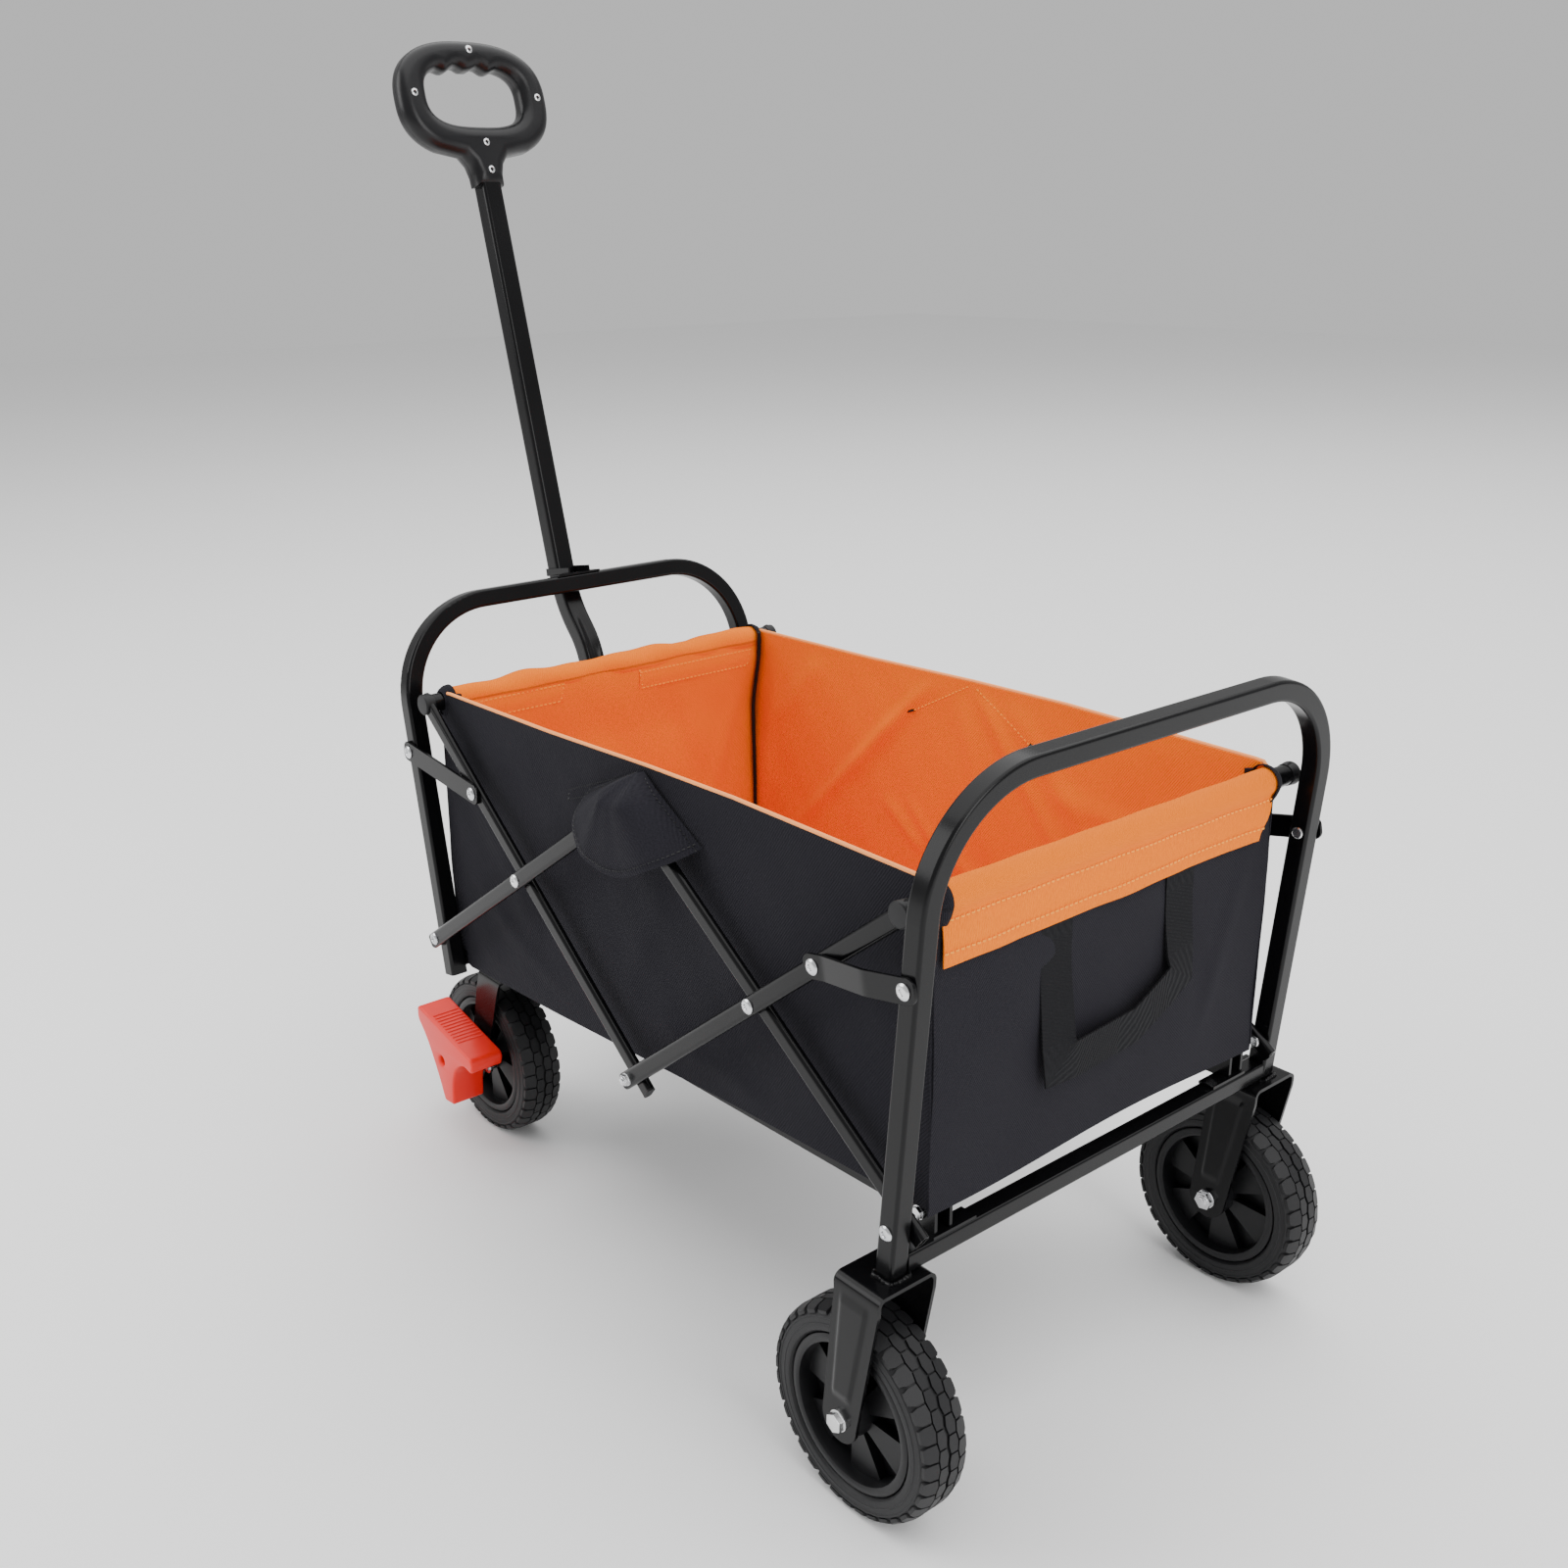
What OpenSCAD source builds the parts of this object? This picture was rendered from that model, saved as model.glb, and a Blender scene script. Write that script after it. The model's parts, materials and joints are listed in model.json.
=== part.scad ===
// Folding four-wheel wagon with a pull handle and a fabric basket.
// X runs along the wagon (+X to the rear, the handle is at the -X end), Y across, Z up from the ground.
// "Left" is the -Y side. Each left and right pair is drawn on the +Y side and mirrored.

/* [Frame] */
// Distance from the fold centre to the lower pivot of each end frame
pivot_x = 343; // [330:1:350]
// Height of the lower pivots
pivot_z = 260; // [255:1:262]
// Height of the upper centre pivots
top_z = 495; // [490:1:500]
// Height of the lower centre pivots
bottom_z = 240; // [236:1:244]
// Distance from the fold centre to each scissor crossing
cross_x = 173; // [170:1:176]
// Outside width of the square frame tube
frame_tube = 18; // [17:0.5:18]
// Inner face of the front legs, from the middle plane
inner_y = 204; // [204:1:206]
// Radius of the bends in the end frames, at the middle of the tube
frame_bend = 95; // [85:1:105]
// Height of the front top bar above its pivots, along the leg
front_rise = 337; // [325:1:345]
// Height of the rear top bar above its pivots, along the leg
rear_rise = 348; // [335:1:355]
// Outward lean of the front frame, in degrees
front_lean = 9.8; // [9:0.1:10]
// Outward lean of the rear frame, in degrees
rear_lean = 4.9; // [4:0.1:5]

/* [Scissor tubes] */
// Width of the flat-oval tubes
bar_w = 16; // [14:1:16]
// Thickness of the flat-oval tubes
bar_t = 8; // [7:0.5:8]
// Distance from the fold centre to each hem rod
rod_x = 342; // [340:1:342]
// Radius of the hem rods
rod_r = 9; // [6:0.5:9]
// Distance from a crossing to the link rivet, along the lift tube
link_on_lift = 103.2; // [95:0.1:106]
// Distance from the front lower pivot to the link bolt, along the leg
front_link_rise = 196.1; // [190:0.1:198]
// Distance from the rear lower pivot to the link bolt, along the leg
rear_link_rise = 203.1; // [198:0.1:205]

/* [Wheels] */
// Radius of all four tyres
wheel_r = 89; // [84:1:89]
// Width of the tyres
tyre_w = 46; // [40:1:46]
// Radius of the seat between rim and tyre
rim_r = 66; // [62:1:68]
// Distance from the fold centre to the rear axle
rear_axle_x = 316; // [312:1:322]
// Distance from the fold centre to the caster swivel axis
caster_x = 339; // [337:1:341]
// Distance from the middle plane to each caster
caster_y = 143; // [138:1:143]
// How far the caster wheel trails behind its swivel axis
caster_trail = 38; // [30:1:40]

/* [Handle] */
// Height of the handle pivot
handle_z = 246; // [244:1:250]
// Distance from the fold centre to the handle pivot
handle_x = 366; // [366:1:370]
// Width of the square handle tube
pole_w = 22; // [20:1:22]
// Forward lean of the long upper run, in degrees
pole_lean = 15; // [14.5:0.1:15.5]
// Width of the grip across the hand
grip_w = 174; // [160:1:190]
// Height of the grip loop
grip_h = 119; // [110:1:125]
// Thickness of the grip
grip_t = 30; // [28:1:32]

/* [Basket] */
// Half the outside width of the basket
bag_half_w = 202; // [196:1:202]
// Distance from the fold centre to the end walls
bag_half_l = 347; // [345:1:347]
// Height of the rim of the side walls
rim_z = 520; // [515:1:524]
// Thickness of the fabric walls
cloth = 2; // [1.5:0.1:2.2]

/* [Hidden] */
$fn = 64;

// The fold centre stands behind the origin, so that the origin is under the middle of the whole wagon.
mid_x = 91;

// Walls, pins and clearances
tube_wall = 1.5;
pin_r = 3;
running = 0.05;
gap = 0.5;
head_r = 6.5;
head_h = 2.5;
tail_h = 1.5;

// Layers across the wagon, from the middle plane: front leg, then the crossing tubes, then the rear leg
front_leg_y = inner_y + frame_tube / 2;
inner_bar_y = inner_y + frame_tube - bar_t / 2;
outer_bar_y = inner_y + frame_tube + 1 + bar_t / 2;
rear_inner_y = inner_y + frame_tube + 1;
rear_leg_y = rear_inner_y + frame_tube / 2;
rear_outer_y = rear_inner_y + frame_tube;

// Angles and lengths of the scissor tubes in the open position
cross_angle = atan2(top_z - pivot_z, pivot_x);
cross_z = pivot_z + (pivot_x - cross_x) * tan(cross_angle);
cross_len = pivot_x / cos(cross_angle);
lift_angle = atan2(cross_z - bottom_z, cross_x);
lift_len = rod_x / cos(lift_angle);
rod_stub = 6;
rod_z = bottom_z + rod_x * tan(lift_angle);
link_x = cross_x + link_on_lift * cos(lift_angle);
link_z = cross_z + link_on_lift * sin(lift_angle);

// Link bolts on the leaning legs
rear_link_leg = [pivot_x + rear_link_rise * sin(rear_lean), pivot_z + rear_link_rise * cos(rear_lean)];
front_link_leg = [-pivot_x - front_link_rise * sin(front_lean), pivot_z + front_link_rise * cos(front_lean)];
link_w = 20;
link_t = 3;

// Cross members, forks and casters
bar_h = 16;
crown_z = 219;
rear_bar_z = crown_z + 1.5 + bar_h / 2;
rear_bar_x = pivot_x - (pivot_z - rear_bar_z) * tan(rear_lean);
front_bar_z = 234;
fork_w = 60;
fork_t = 3.5;
axle_r = 5;
hub_len = 51;
hub_r = 18;
caster_plate_t = 4;
caster_plate_z = front_bar_z - bar_h / 2 - caster_plate_t;
caster_fork_z = 200;
caster_fork_w = 58;
caster_wheel_x = -caster_x - caster_trail;
race_h = 6;
race_gap = 0.3;
kingpin_r = 5;
brake_z = 112;
pedal_in = 6;
pedal_w = 38;

// Folding rails and base boards: the rails meet at the fold centre
rear_rail_pin = [330, 252];
front_rail_pin = [-322, 235];
rail_len = norm(rear_rail_pin - front_rail_pin) / 2;
rail_slope = atan2(rear_rail_pin[1] - front_rail_pin[1], rear_rail_pin[0] - front_rail_pin[0]);
rail_h = 14;
rail_w = 12;
rear_rail_y = 184;
front_rail_y = 170.5;
floor_rise = 9;
board_rise = 11.6;
board_t = 6;
board_gap = 34;
board_half_w = 188;

// Handle: the low run stands inside the front frame, and a double bend carries the tube past the top bar
handle_shoulder = [-420, 568];
pole_dir = [-sin(pole_lean), cos(pole_lean)];
grip_rise = 442;
pole_end_rise = grip_rise + 22;
grip_slot_w = 113;
grip_slot_h = 61;
pole_path = [
    [-handle_x, handle_z - 7], [-373.5, 505], [-383, 532], [-408, 555],
    handle_shoulder + pole_dir * 23, handle_shoulder + pole_dir * pole_end_rise];
pole_last = len(pole_path) - 1;
neck_w = 38;
neck_h = 29;
// Centres of the grip's screws in its own plane; the last one also goes through the handle tube
grip_screw_points = [[0, 137], [-73, 91], [73, 91], [0, 43], [0, 15]];

// Basket hems and flaps
hem_r = 10.5;
hem_half_w = 195;
hem_top = rod_z - hem_r - gap;
function floor_z(x) = rear_rail_pin[1] + (x - rear_rail_pin[0]) * tan(rail_slope) + floor_rise;
flap_y = outer_bar_y + bar_t / 2 + 5;
flap_half_w = 88;
flap_low_z = 443;
flap_top_z = 512;

// ---- Placement helpers ----

module at_mid() {
    translate([mid_x, 0, 0]) children();
}

// side is -1 for left and 1 for right
module on_side(side) {
    mirror([0, side < 0 ? 1 : 0, 0]) children();
}

module both_sides() {
    for (side = [-1, 1]) on_side(side) children();
}

// Places children at a point of the XZ plane with local +X turned up by an angle
module in_plane(point, angle) {
    translate([point[0], 0, point[1]]) rotate([0, -angle, 0]) children();
}

// Cylinder along +Y between two distances from the middle plane
module y_rod(r, from, to) {
    translate([0, from, 0]) rotate([-90, 0, 0]) cylinder(r = r, h = to - from);
}

// Extrudes a profile drawn in (Y, Z) along +X
module extrude_x(length) {
    rotate([90, 0, 90]) linear_extrude(length) children();
}

// Extrudes an outline drawn in (X, Z) along +Y
module extrude_y(from, to) {
    translate([0, to, 0]) rotate([90, 0, 0]) linear_extrude(to - from) children();
}

// ---- Shared outlines and fasteners ----

module rounded_rect(w, h, r) {
    square([w - 2 * r, h], center = true);
    square([w, h - 2 * r], center = true);
    for (x = [-1, 1], y = [-1, 1]) translate([x * (w / 2 - r), y * (h / 2 - r)]) circle(r);
}

module square_tube_ring(size, r) {
    difference() {
        rounded_rect(size, size, r);
        rounded_rect(size - 2 * tube_wall, size - 2 * tube_wall, r - tube_wall);
    }
}

module stadium(length, width) {
    square([length - width, width], center = true);
    for (x = [-1, 1]) translate([x * (length - width) / 2, 0]) circle(width / 2);
}

// Flat-oval tube along local +X, in the layer centred on y
module oval_tube(from, to, y) {
    translate([from, y, 0]) extrude_x(to - from) difference() {
        rotate(90) stadium(bar_w, bar_t);
        rotate(90) stadium(bar_w - 2 * tube_wall, bar_t - 2 * tube_wall);
    }
}

module pin_hole(y, r = pin_r + running) {
    y_rod(r, y - bar_t, y + bar_t);
}

// Rivet along Y with a low head at each end of the shank
module rivet(from, to) {
    y_rod(pin_r, from, to);
    y_rod(head_r, to, to + head_h - 1);
    translate([0, to + head_h - 1, 0]) rotate([-90, 0, 0]) cylinder(r1 = head_r, r2 = head_r - 2, h = 1);
    y_rod(head_r - 1, from - tail_h, from);
}

// Bolt along Y: hexagon head outside, nut inside
module bolt(r, from, to, head, nut_h) {
    y_rod(r, from, to);
    translate([0, to, 0]) rotate([-90, 0, 0]) cylinder(r = head, h = r, $fn = 6);
    translate([0, from - nut_h, 0]) rotate([-90, 0, 0]) cylinder(r = head, h = nut_h, $fn = 6);
}

// ---- End frames ----

// Upright U of square tube, with its pivots at height 0
module u_frame(leg_y, rise, below) {
    bend_start = rise - frame_bend;
    for (side = [-1, 1]) translate([0, side * leg_y, -below])
        linear_extrude(bend_start + below) square_tube_ring(frame_tube, 3);
    both_sides() translate([0, leg_y - frame_bend, bend_start]) rotate([90, 0, 90])
        rotate_extrude(angle = 90) translate([frame_bend, 0]) square_tube_ring(frame_tube, 3);
    translate([0, -(leg_y - frame_bend), rise]) rotate([-90, 0, 0])
        linear_extrude(2 * (leg_y - frame_bend)) square_tube_ring(frame_tube, 3);
}

// A U frame leaning about its pivots, drilled for the pivot rivets and the link bolts
module leaning_frame(x, lean, leg_y, rise, below, link_rise) {
    translate([x, 0, pivot_z]) rotate([0, lean, 0]) difference() {
        u_frame(leg_y, rise, below);
        for (z = [0, link_rise]) translate([0, 0, z]) {
            y_rod(pin_r + running, leg_y - frame_tube, leg_y + frame_tube);
            y_rod(pin_r + running, -leg_y - frame_tube, -leg_y + frame_tube);
        }
    }
}

module rear_frame_tube() {
    color("black") at_mid() difference() {
        leaning_frame(pivot_x, rear_lean, rear_leg_y, rear_rise, 50, rear_link_rise);
        translate([0, -400, crown_z - 60]) cube([600, 800, 60]);
    }
}

module front_frame_tube() {
    color("black") at_mid()
        leaning_frame(-pivot_x, -front_lean, front_leg_y, front_rise, 42, front_link_rise);
}

module crossbar(x, z, half_len) {
    translate([x, -half_len, z]) rotate([-90, 0, 0]) linear_extrude(2 * half_len) difference() {
        rounded_rect(frame_tube, bar_h, 2.5);
        rounded_rect(frame_tube - 2 * tube_wall, bar_h - 2 * tube_wall, 1);
    }
}

module rear_crossbar() {
    color("black") at_mid() crossbar(rear_bar_x, rear_bar_z, rear_inner_y);
}

module front_crossbar() {
    color("black") at_mid() crossbar(-caster_x, front_bar_z, inner_y);
}

// ---- Rear forks and axles ----

// Sheet-metal fork: flat crown with two side plates that taper to the axle
module rear_fork(side) {
    crown_x = [309, 358];
    color("black") at_mid() on_side(side) translate([0, rear_leg_y, 0]) difference() {
        union() {
            translate([crown_x[0], -fork_w / 2, crown_z - 4]) cube([crown_x[1] - crown_x[0], fork_w, 4]);
            for (plate = [-1, 1]) extrude_y_plate(plate) {
                polygon([
                    [crown_x[0], crown_z - 1], [crown_x[1], crown_z - 1],
                    [rear_axle_x + 19, wheel_r], [rear_axle_x - 19, wheel_r]]);
                translate([rear_axle_x, wheel_r]) circle(19);
            }
        }
        translate([rear_axle_x, 0, wheel_r]) y_rod(axle_r, -fork_w, fork_w);
    }
}

module extrude_y_plate(plate) {
    extrude_y(plate * (fork_w - fork_t) / 2 - fork_t / 2, plate * (fork_w - fork_t) / 2 + fork_t / 2)
        children();
}

module rear_axle_bolts() {
    color("silver") at_mid() both_sides() translate([rear_axle_x, 0, wheel_r])
        bolt(axle_r, rear_leg_y - fork_w / 2, rear_leg_y + fork_w / 2, 9.5, 8);
}

// ---- Wheels ----

// Tyre and rim are drawn around the Y axis at the origin
module tyre() {
    color("black") rotate([90, 0, 0]) rotate_extrude() polygon([
        [rim_r, -tyre_w / 2 + 3], [rim_r + 4, -tyre_w / 2], [wheel_r - 7, -tyre_w / 2],
        [wheel_r - 2, -tyre_w / 2 + 5], [wheel_r, -tyre_w / 2 + 11],
        [wheel_r, tyre_w / 2 - 11], [wheel_r - 2, tyre_w / 2 - 5],
        [wheel_r - 7, tyre_w / 2], [rim_r + 4, tyre_w / 2], [rim_r, tyre_w / 2 - 3]]);
}

// Moulded rim: outer ring, hub, thin web and wedge spokes that widen towards the ring
module rim() {
    spokes = 6;
    spoke_depth = 26;
    web_t = 4;
    ring_in = rim_r - 9;
    color("dimgray") rotate([90, 0, 0]) {
        difference() {
            cylinder(r = rim_r, h = tyre_w - 6, center = true);
            cylinder(r = ring_in, h = tyre_w, center = true);
        }
        difference() {
            union() {
                cylinder(r = hub_r, h = hub_len, center = true);
                cylinder(r = ring_in + 1, h = web_t, center = true);
                for (i = [0:spokes - 1]) rotate(i * 360 / spokes) linear_extrude(spoke_depth, center = true)
                    polygon([[hub_r - 3, -5], [ring_in + 1, -13], [ring_in + 1, 13], [hub_r - 3, 5]]);
            }
            cylinder(r = axle_r + running, h = hub_len + 2, center = true);
        }
    }
}

module rear_wheel_place(side) {
    at_mid() on_side(side) translate([rear_axle_x, rear_leg_y, wheel_r]) children();
}

module caster_wheel_place(side) {
    at_mid() on_side(side) translate([caster_wheel_x, caster_y, wheel_r]) children();
}

// ---- Casters and brakes ----

module caster_plates() {
    color("dimgray") at_mid() both_sides() translate([-caster_x, caster_y, caster_plate_z]) {
        linear_extrude(caster_plate_t) rounded_rect(60, 56, 6);
        // Fixed race of the swivel bearing, and the kingpin with its nut under the fork's crown
        translate([0, 0, -race_h]) cylinder(r = 20, h = race_h);
        translate([0, 0, -33]) cylinder(r = kingpin_r, h = 33);
        translate([0, 0, -34]) cylinder(r = 9, h = 7, $fn = 6);
    }
}

// Swivel fork: bearing cup, crown and two swept side plates
module caster_fork(side) {
    cup_top = caster_plate_z - race_h - race_gap;
    color("black") at_mid() on_side(side) translate([0, caster_y, 0]) difference() {
        union() {
            translate([-caster_x, 0, caster_fork_z]) cylinder(r = 24, h = cup_top - caster_fork_z);
            translate([-caster_x - 26, -caster_fork_w / 2, caster_fork_z - 4])
                cube([48, caster_fork_w, 4.5]);
            for (plate = [-1, 1]) translate([0, plate * (caster_fork_w - 3) / 2, 0]) extrude_y(-1.5, 1.5) {
                polygon([
                    [-caster_x - 26, caster_fork_z - 1], [-caster_x + 14, caster_fork_z - 1],
                    [-caster_x + 5, 165], [caster_wheel_x + 16, wheel_r],
                    [caster_wheel_x - 16, wheel_r], [-caster_x - 33, 165]]);
                translate([caster_wheel_x, wheel_r]) circle(16);
            }
        }
        translate([caster_wheel_x, 0, wheel_r]) y_rod(axle_r, -caster_fork_w, caster_fork_w);
        translate([caster_wheel_x, 0, brake_z]) y_rod(pin_r, caster_fork_w / 2 - 5, caster_fork_w);
        translate([-caster_x, 0, caster_fork_z - 10]) cylinder(r = kingpin_r + running, h = 40);
    }
}

// Axle bolt of a caster with the stud that the pedal turns on
module caster_axle(side) {
    stud_from = caster_fork_w / 2 - 3;
    color("silver") at_mid() on_side(side) translate([0, caster_y, 0]) {
        translate([caster_wheel_x, 0, wheel_r]) bolt(axle_r, -caster_fork_w / 2, caster_fork_w / 2, 8.5, 6);
        translate([caster_wheel_x, 0, brake_z]) y_rod(pin_r, stud_from, caster_fork_w / 2 + pedal_in + pedal_w - 6);
    }
}

// Brake pedal: sloping tread plate over an arch, with a leg towards the tyre's lower half
module brake_pedal(side) {
    inner = caster_fork_w / 2 + pedal_in;
    color("red") at_mid() on_side(side) translate([caster_wheel_x, caster_y, brake_z]) difference() {
        extrude_y(inner, inner + pedal_w) difference() {
            polygon([
                [-50, 31], [-46, 35], [62, 11], [64, 6], [60, -4], [30, 2], [19, -58],
                [14, -62], [-3, -58], [-32, 8], [-50, 20]]);
            translate([44, -24]) circle(25);
        }
        y_rod(pin_r + running, inner - 1, inner + pedal_w - 6 + gap);
    }
}

// ---- Scissor tubes ----

// Tube from an end frame's lower pivot up to the upper centre pivot
module cross_tube(y, stub) {
    difference() {
        oval_tube(-stub, cross_len + 10, y);
        for (x = [0, (pivot_x - cross_x) / cos(cross_angle), cross_len]) translate([x, 0, 0]) pin_hole(y);
    }
}

module rear_cross(side) {
    color("black") at_mid() on_side(side)
        in_plane([pivot_x, pivot_z], 180 - cross_angle) cross_tube(inner_bar_y, 18);
}

module front_cross(side) {
    color("black") at_mid() on_side(side)
        in_plane([-pivot_x, pivot_z], cross_angle) cross_tube(outer_bar_y, 12);
}

// Tube from the lower centre pivot up to a hem rod
module lift_tube(y, stub, centre_hole) {
    difference() {
        oval_tube(-stub, lift_len + rod_stub, y);
        pin_hole(y, centre_hole);
        translate([cross_x / cos(lift_angle), 0, 0]) pin_hole(y);
    }
}

module rear_lift(side) {
    color("black") at_mid() on_side(side)
        in_plane([0, bottom_z], lift_angle) lift_tube(outer_bar_y, 11, pin_r);
}

// The hole at the lower centre pivot is wide, for the play that this joint has through the fold
module front_lift(side) {
    color("black") at_mid() on_side(side)
        in_plane([0, bottom_z], 180 - lift_angle) lift_tube(inner_bar_y, 18, 2 * pin_r);
}

// Plug with a shoulder that closes the end of a flat-oval tube
module tube_plug(y) {
    translate([0, y, 0]) extrude_x(2) rotate(90) stadium(bar_w, bar_t);
    translate([-10, y, 0]) extrude_x(10) rotate(90) stadium(bar_w - 2 * tube_wall - 0.1, bar_t - 2 * tube_wall - 0.1);
}

module rear_lift_plugs() {
    color("black") at_mid() both_sides() in_plane([0, bottom_z], lift_angle)
        translate([lift_len + rod_stub, 0, 0]) tube_plug(outer_bar_y);
}

module front_lift_caps() {
    color("black") at_mid() both_sides() in_plane([0, bottom_z], 180 - lift_angle) {
        translate([lift_len + rod_stub, 0, 0]) tube_plug(inner_bar_y);
        translate([-18, 0, 0]) rotate([0, 180, 0]) tube_plug(inner_bar_y);
    }
}

module rear_hem_rod() {
    half_len = outer_bar_y - bar_t / 2;
    color("black") at_mid() translate([rod_x, 0, rod_z]) y_rod(rod_r, -half_len, half_len);
}

module front_hem_rod() {
    half_len = inner_bar_y - bar_t / 2;
    color("black") at_mid() translate([-rod_x, 0, rod_z]) y_rod(rod_r, -half_len, half_len);
}

module crossing_rivet(x, z) {
    translate([x, 0, z]) rivet(inner_bar_y - bar_t / 2, outer_bar_y + bar_t / 2);
}

module rear_cross_rivets() {
    color("silver") at_mid() both_sides() {
        crossing_rivet(cross_x, cross_z);
        crossing_rivet(0, top_z);
    }
}

module front_cross_rivets() {
    color("silver") at_mid() both_sides() crossing_rivet(-cross_x, cross_z);
}

module centre_bolts() {
    color("silver") at_mid() both_sides() translate([0, 0, bottom_z])
        bolt(pin_r, inner_bar_y - bar_t / 2 - gap, outer_bar_y + bar_t / 2, head_r, 3);
}

// ---- Pins carried by the end frames ----

module rear_frame_pins() {
    color("silver") at_mid() both_sides() {
        translate([pivot_x, 0, pivot_z]) rivet(inner_bar_y - bar_t / 2, rear_outer_y);
        translate([rear_link_leg[0], 0, rear_link_leg[1]])
            bolt(pin_r, rear_inner_y, rear_outer_y + gap + link_t + 0.2, head_r, 5);
        translate([rear_rail_pin[0], 0, rear_rail_pin[1]])
            y_rod(pin_r, rear_rail_y - rail_w / 2 - 5, rear_rail_y + rail_w / 2 + 5);
    }
}

module front_frame_pins() {
    color("silver") at_mid() both_sides() {
        translate([-pivot_x, 0, pivot_z]) rivet(inner_y, outer_bar_y + bar_t / 2);
        translate([front_link_leg[0], 0, front_link_leg[1]])
            rivet(inner_y, inner_y + frame_tube + gap + link_t + 0.2);
        translate([front_rail_pin[0], 0, front_rail_pin[1]])
            y_rod(pin_r, front_rail_y - rail_w / 2 - 5, front_rail_y + rail_w / 2 + 5);
    }
    color("silver") at_mid() translate([-handle_x, 0, handle_z]) {
        y_rod(pin_r + 1, -18, 18);
        y_rod(head_r, 18, 21);
        y_rod(head_r, -21, -18);
    }
}

// ---- Links between the legs and the lift tubes ----

// Flat bar with round ends between two layers, from the first rivet to the second
module link_bar(length, from, to) {
    translate([0, from, -link_w / 2]) cube([length, to - from, link_w]);
    for (x = [0, length]) translate([x, 0, 0]) y_rod(link_w / 2, from, to);
}

// Head of the rivet at the lift tube's end of a link, set into the link and no deeper
module link_rivet(y) {
    y_rod(head_r, y + link_t / 2, y + link_t + head_h);
}

// The rear link steps inward from the leg's outer face to the lift tube's outer face
module rear_links() {
    to_lift = [link_x - rear_link_leg[0], link_z - rear_link_leg[1]];
    length = norm(to_lift);
    leg_face = rear_outer_y + gap;
    lift_face = outer_bar_y + bar_t / 2 + gap;
    step_from = 52;
    step_to = 72;
    color("black") at_mid() both_sides()
        in_plane(rear_link_leg, atan2(to_lift[1], to_lift[0])) difference() {
            intersection() {
                link_bar(length, lift_face - 1, leg_face + link_t + 1);
                translate([0, 0, -link_w]) linear_extrude(2 * link_w) polygon([
                    [-link_w, leg_face], [step_from, leg_face], [step_to, lift_face],
                    [length + link_w, lift_face], [length + link_w, lift_face + link_t],
                    [step_to + 1, lift_face + link_t], [step_from + 1, leg_face + link_t],
                    [-link_w, leg_face + link_t]]);
            }
            y_rod(pin_r + running, leg_face - 1, leg_face + link_t + 1);
        }
    color("silver") at_mid() both_sides() translate([link_x, 0, link_z]) link_rivet(lift_face);
}

module front_links() {
    to_lift = [-link_x - front_link_leg[0], link_z - front_link_leg[1]];
    length = norm(to_lift);
    face = inner_y + frame_tube + gap;
    color("black") at_mid() both_sides()
        in_plane(front_link_leg, atan2(to_lift[1], to_lift[0])) difference() {
            intersection() {
                link_bar(length, face - 1, face + link_t + 1);
                translate([-link_w, face, -link_w]) cube([length + 2 * link_w, link_t, 2 * link_w]);
            }
            y_rod(pin_r + running, face - 1, face + link_t + 1);
        }
    color("silver") at_mid() both_sides() translate([-link_x, 0, link_z]) link_rivet(face);
}

// ---- Folding rails under the basket and base boards ----

module rail(y) {
    end_wall = 9;
    difference() {
        union() {
            translate([0, y - rail_w / 2, -rail_h / 2]) cube([rail_len, rail_w, rail_h]);
            for (x = [0, rail_len]) translate([x, 0, 0]) y_rod(rail_h / 2, y - rail_w / 2, y + rail_w / 2);
        }
        translate([end_wall, y - rail_w / 2 + tube_wall, -rail_h / 2 + tube_wall])
            cube([rail_len - 2 * end_wall, rail_w - 2 * tube_wall, rail_h - 2 * tube_wall]);
        for (x = [0, rail_len]) translate([x, 0, 0]) y_rod(pin_r + running, y - rail_w, y + rail_w);
    }
}

// Rails are drawn from their pins towards the fold centre
module rear_rails() {
    color("black") at_mid() both_sides() in_plane(rear_rail_pin, 180 + rail_slope) rail(rear_rail_y);
}

module front_rails() {
    color("black") at_mid() both_sides() in_plane(front_rail_pin, rail_slope) rail(front_rail_y);
}

// The corners by the centre are cut away, so that the other pair of rails can swing past the board
module base_board(cut_from, cut_half_w) {
    difference() {
        translate([12, -board_half_w, board_rise]) cube([rail_len - board_gap - 12, 2 * board_half_w, board_t]);
        both_sides() translate([cut_from, cut_half_w, board_rise - 1]) cube([rail_len, board_half_w, board_t + 2]);
    }
}

module rear_base_board() {
    color("black") at_mid() in_plane(rear_rail_pin, rail_slope) mirror([1, 0, 0])
        base_board(rail_len - 64, front_rail_y - rail_w / 2 - 1);
}

module front_base_board() {
    color("black") at_mid() in_plane(front_rail_pin, rail_slope)
        base_board(rail_len - 92, rear_rail_y - rail_w / 2 - 1);
}

// Two upright ears beside a rail, on a foot against the crossbar
module rail_ears(pin, y, from_x, to_x, low_z, high_z) {
    for (ear = [-1, 1]) translate([0, y + ear * (rail_w / 2 + gap + 1.5), 0]) difference() {
        translate([from_x, -1.5, low_z]) cube([to_x - from_x, 3, high_z - low_z]);
        translate([pin[0], 0, pin[1]]) y_rod(pin_r, -3, 3);
    }
}

module rear_rail_brackets() {
    foot_z = rear_bar_z + bar_h / 2;
    color("black") at_mid() both_sides() {
        rail_ears(rear_rail_pin, rear_rail_y, 320, 346, foot_z + 2.5, 259);
        translate([332, 150, foot_z]) cube([16, 46, 2.5]);
        translate([320, rear_rail_y - 9.5, foot_z]) cube([14, 19, 2.5]);
    }
}

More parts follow.
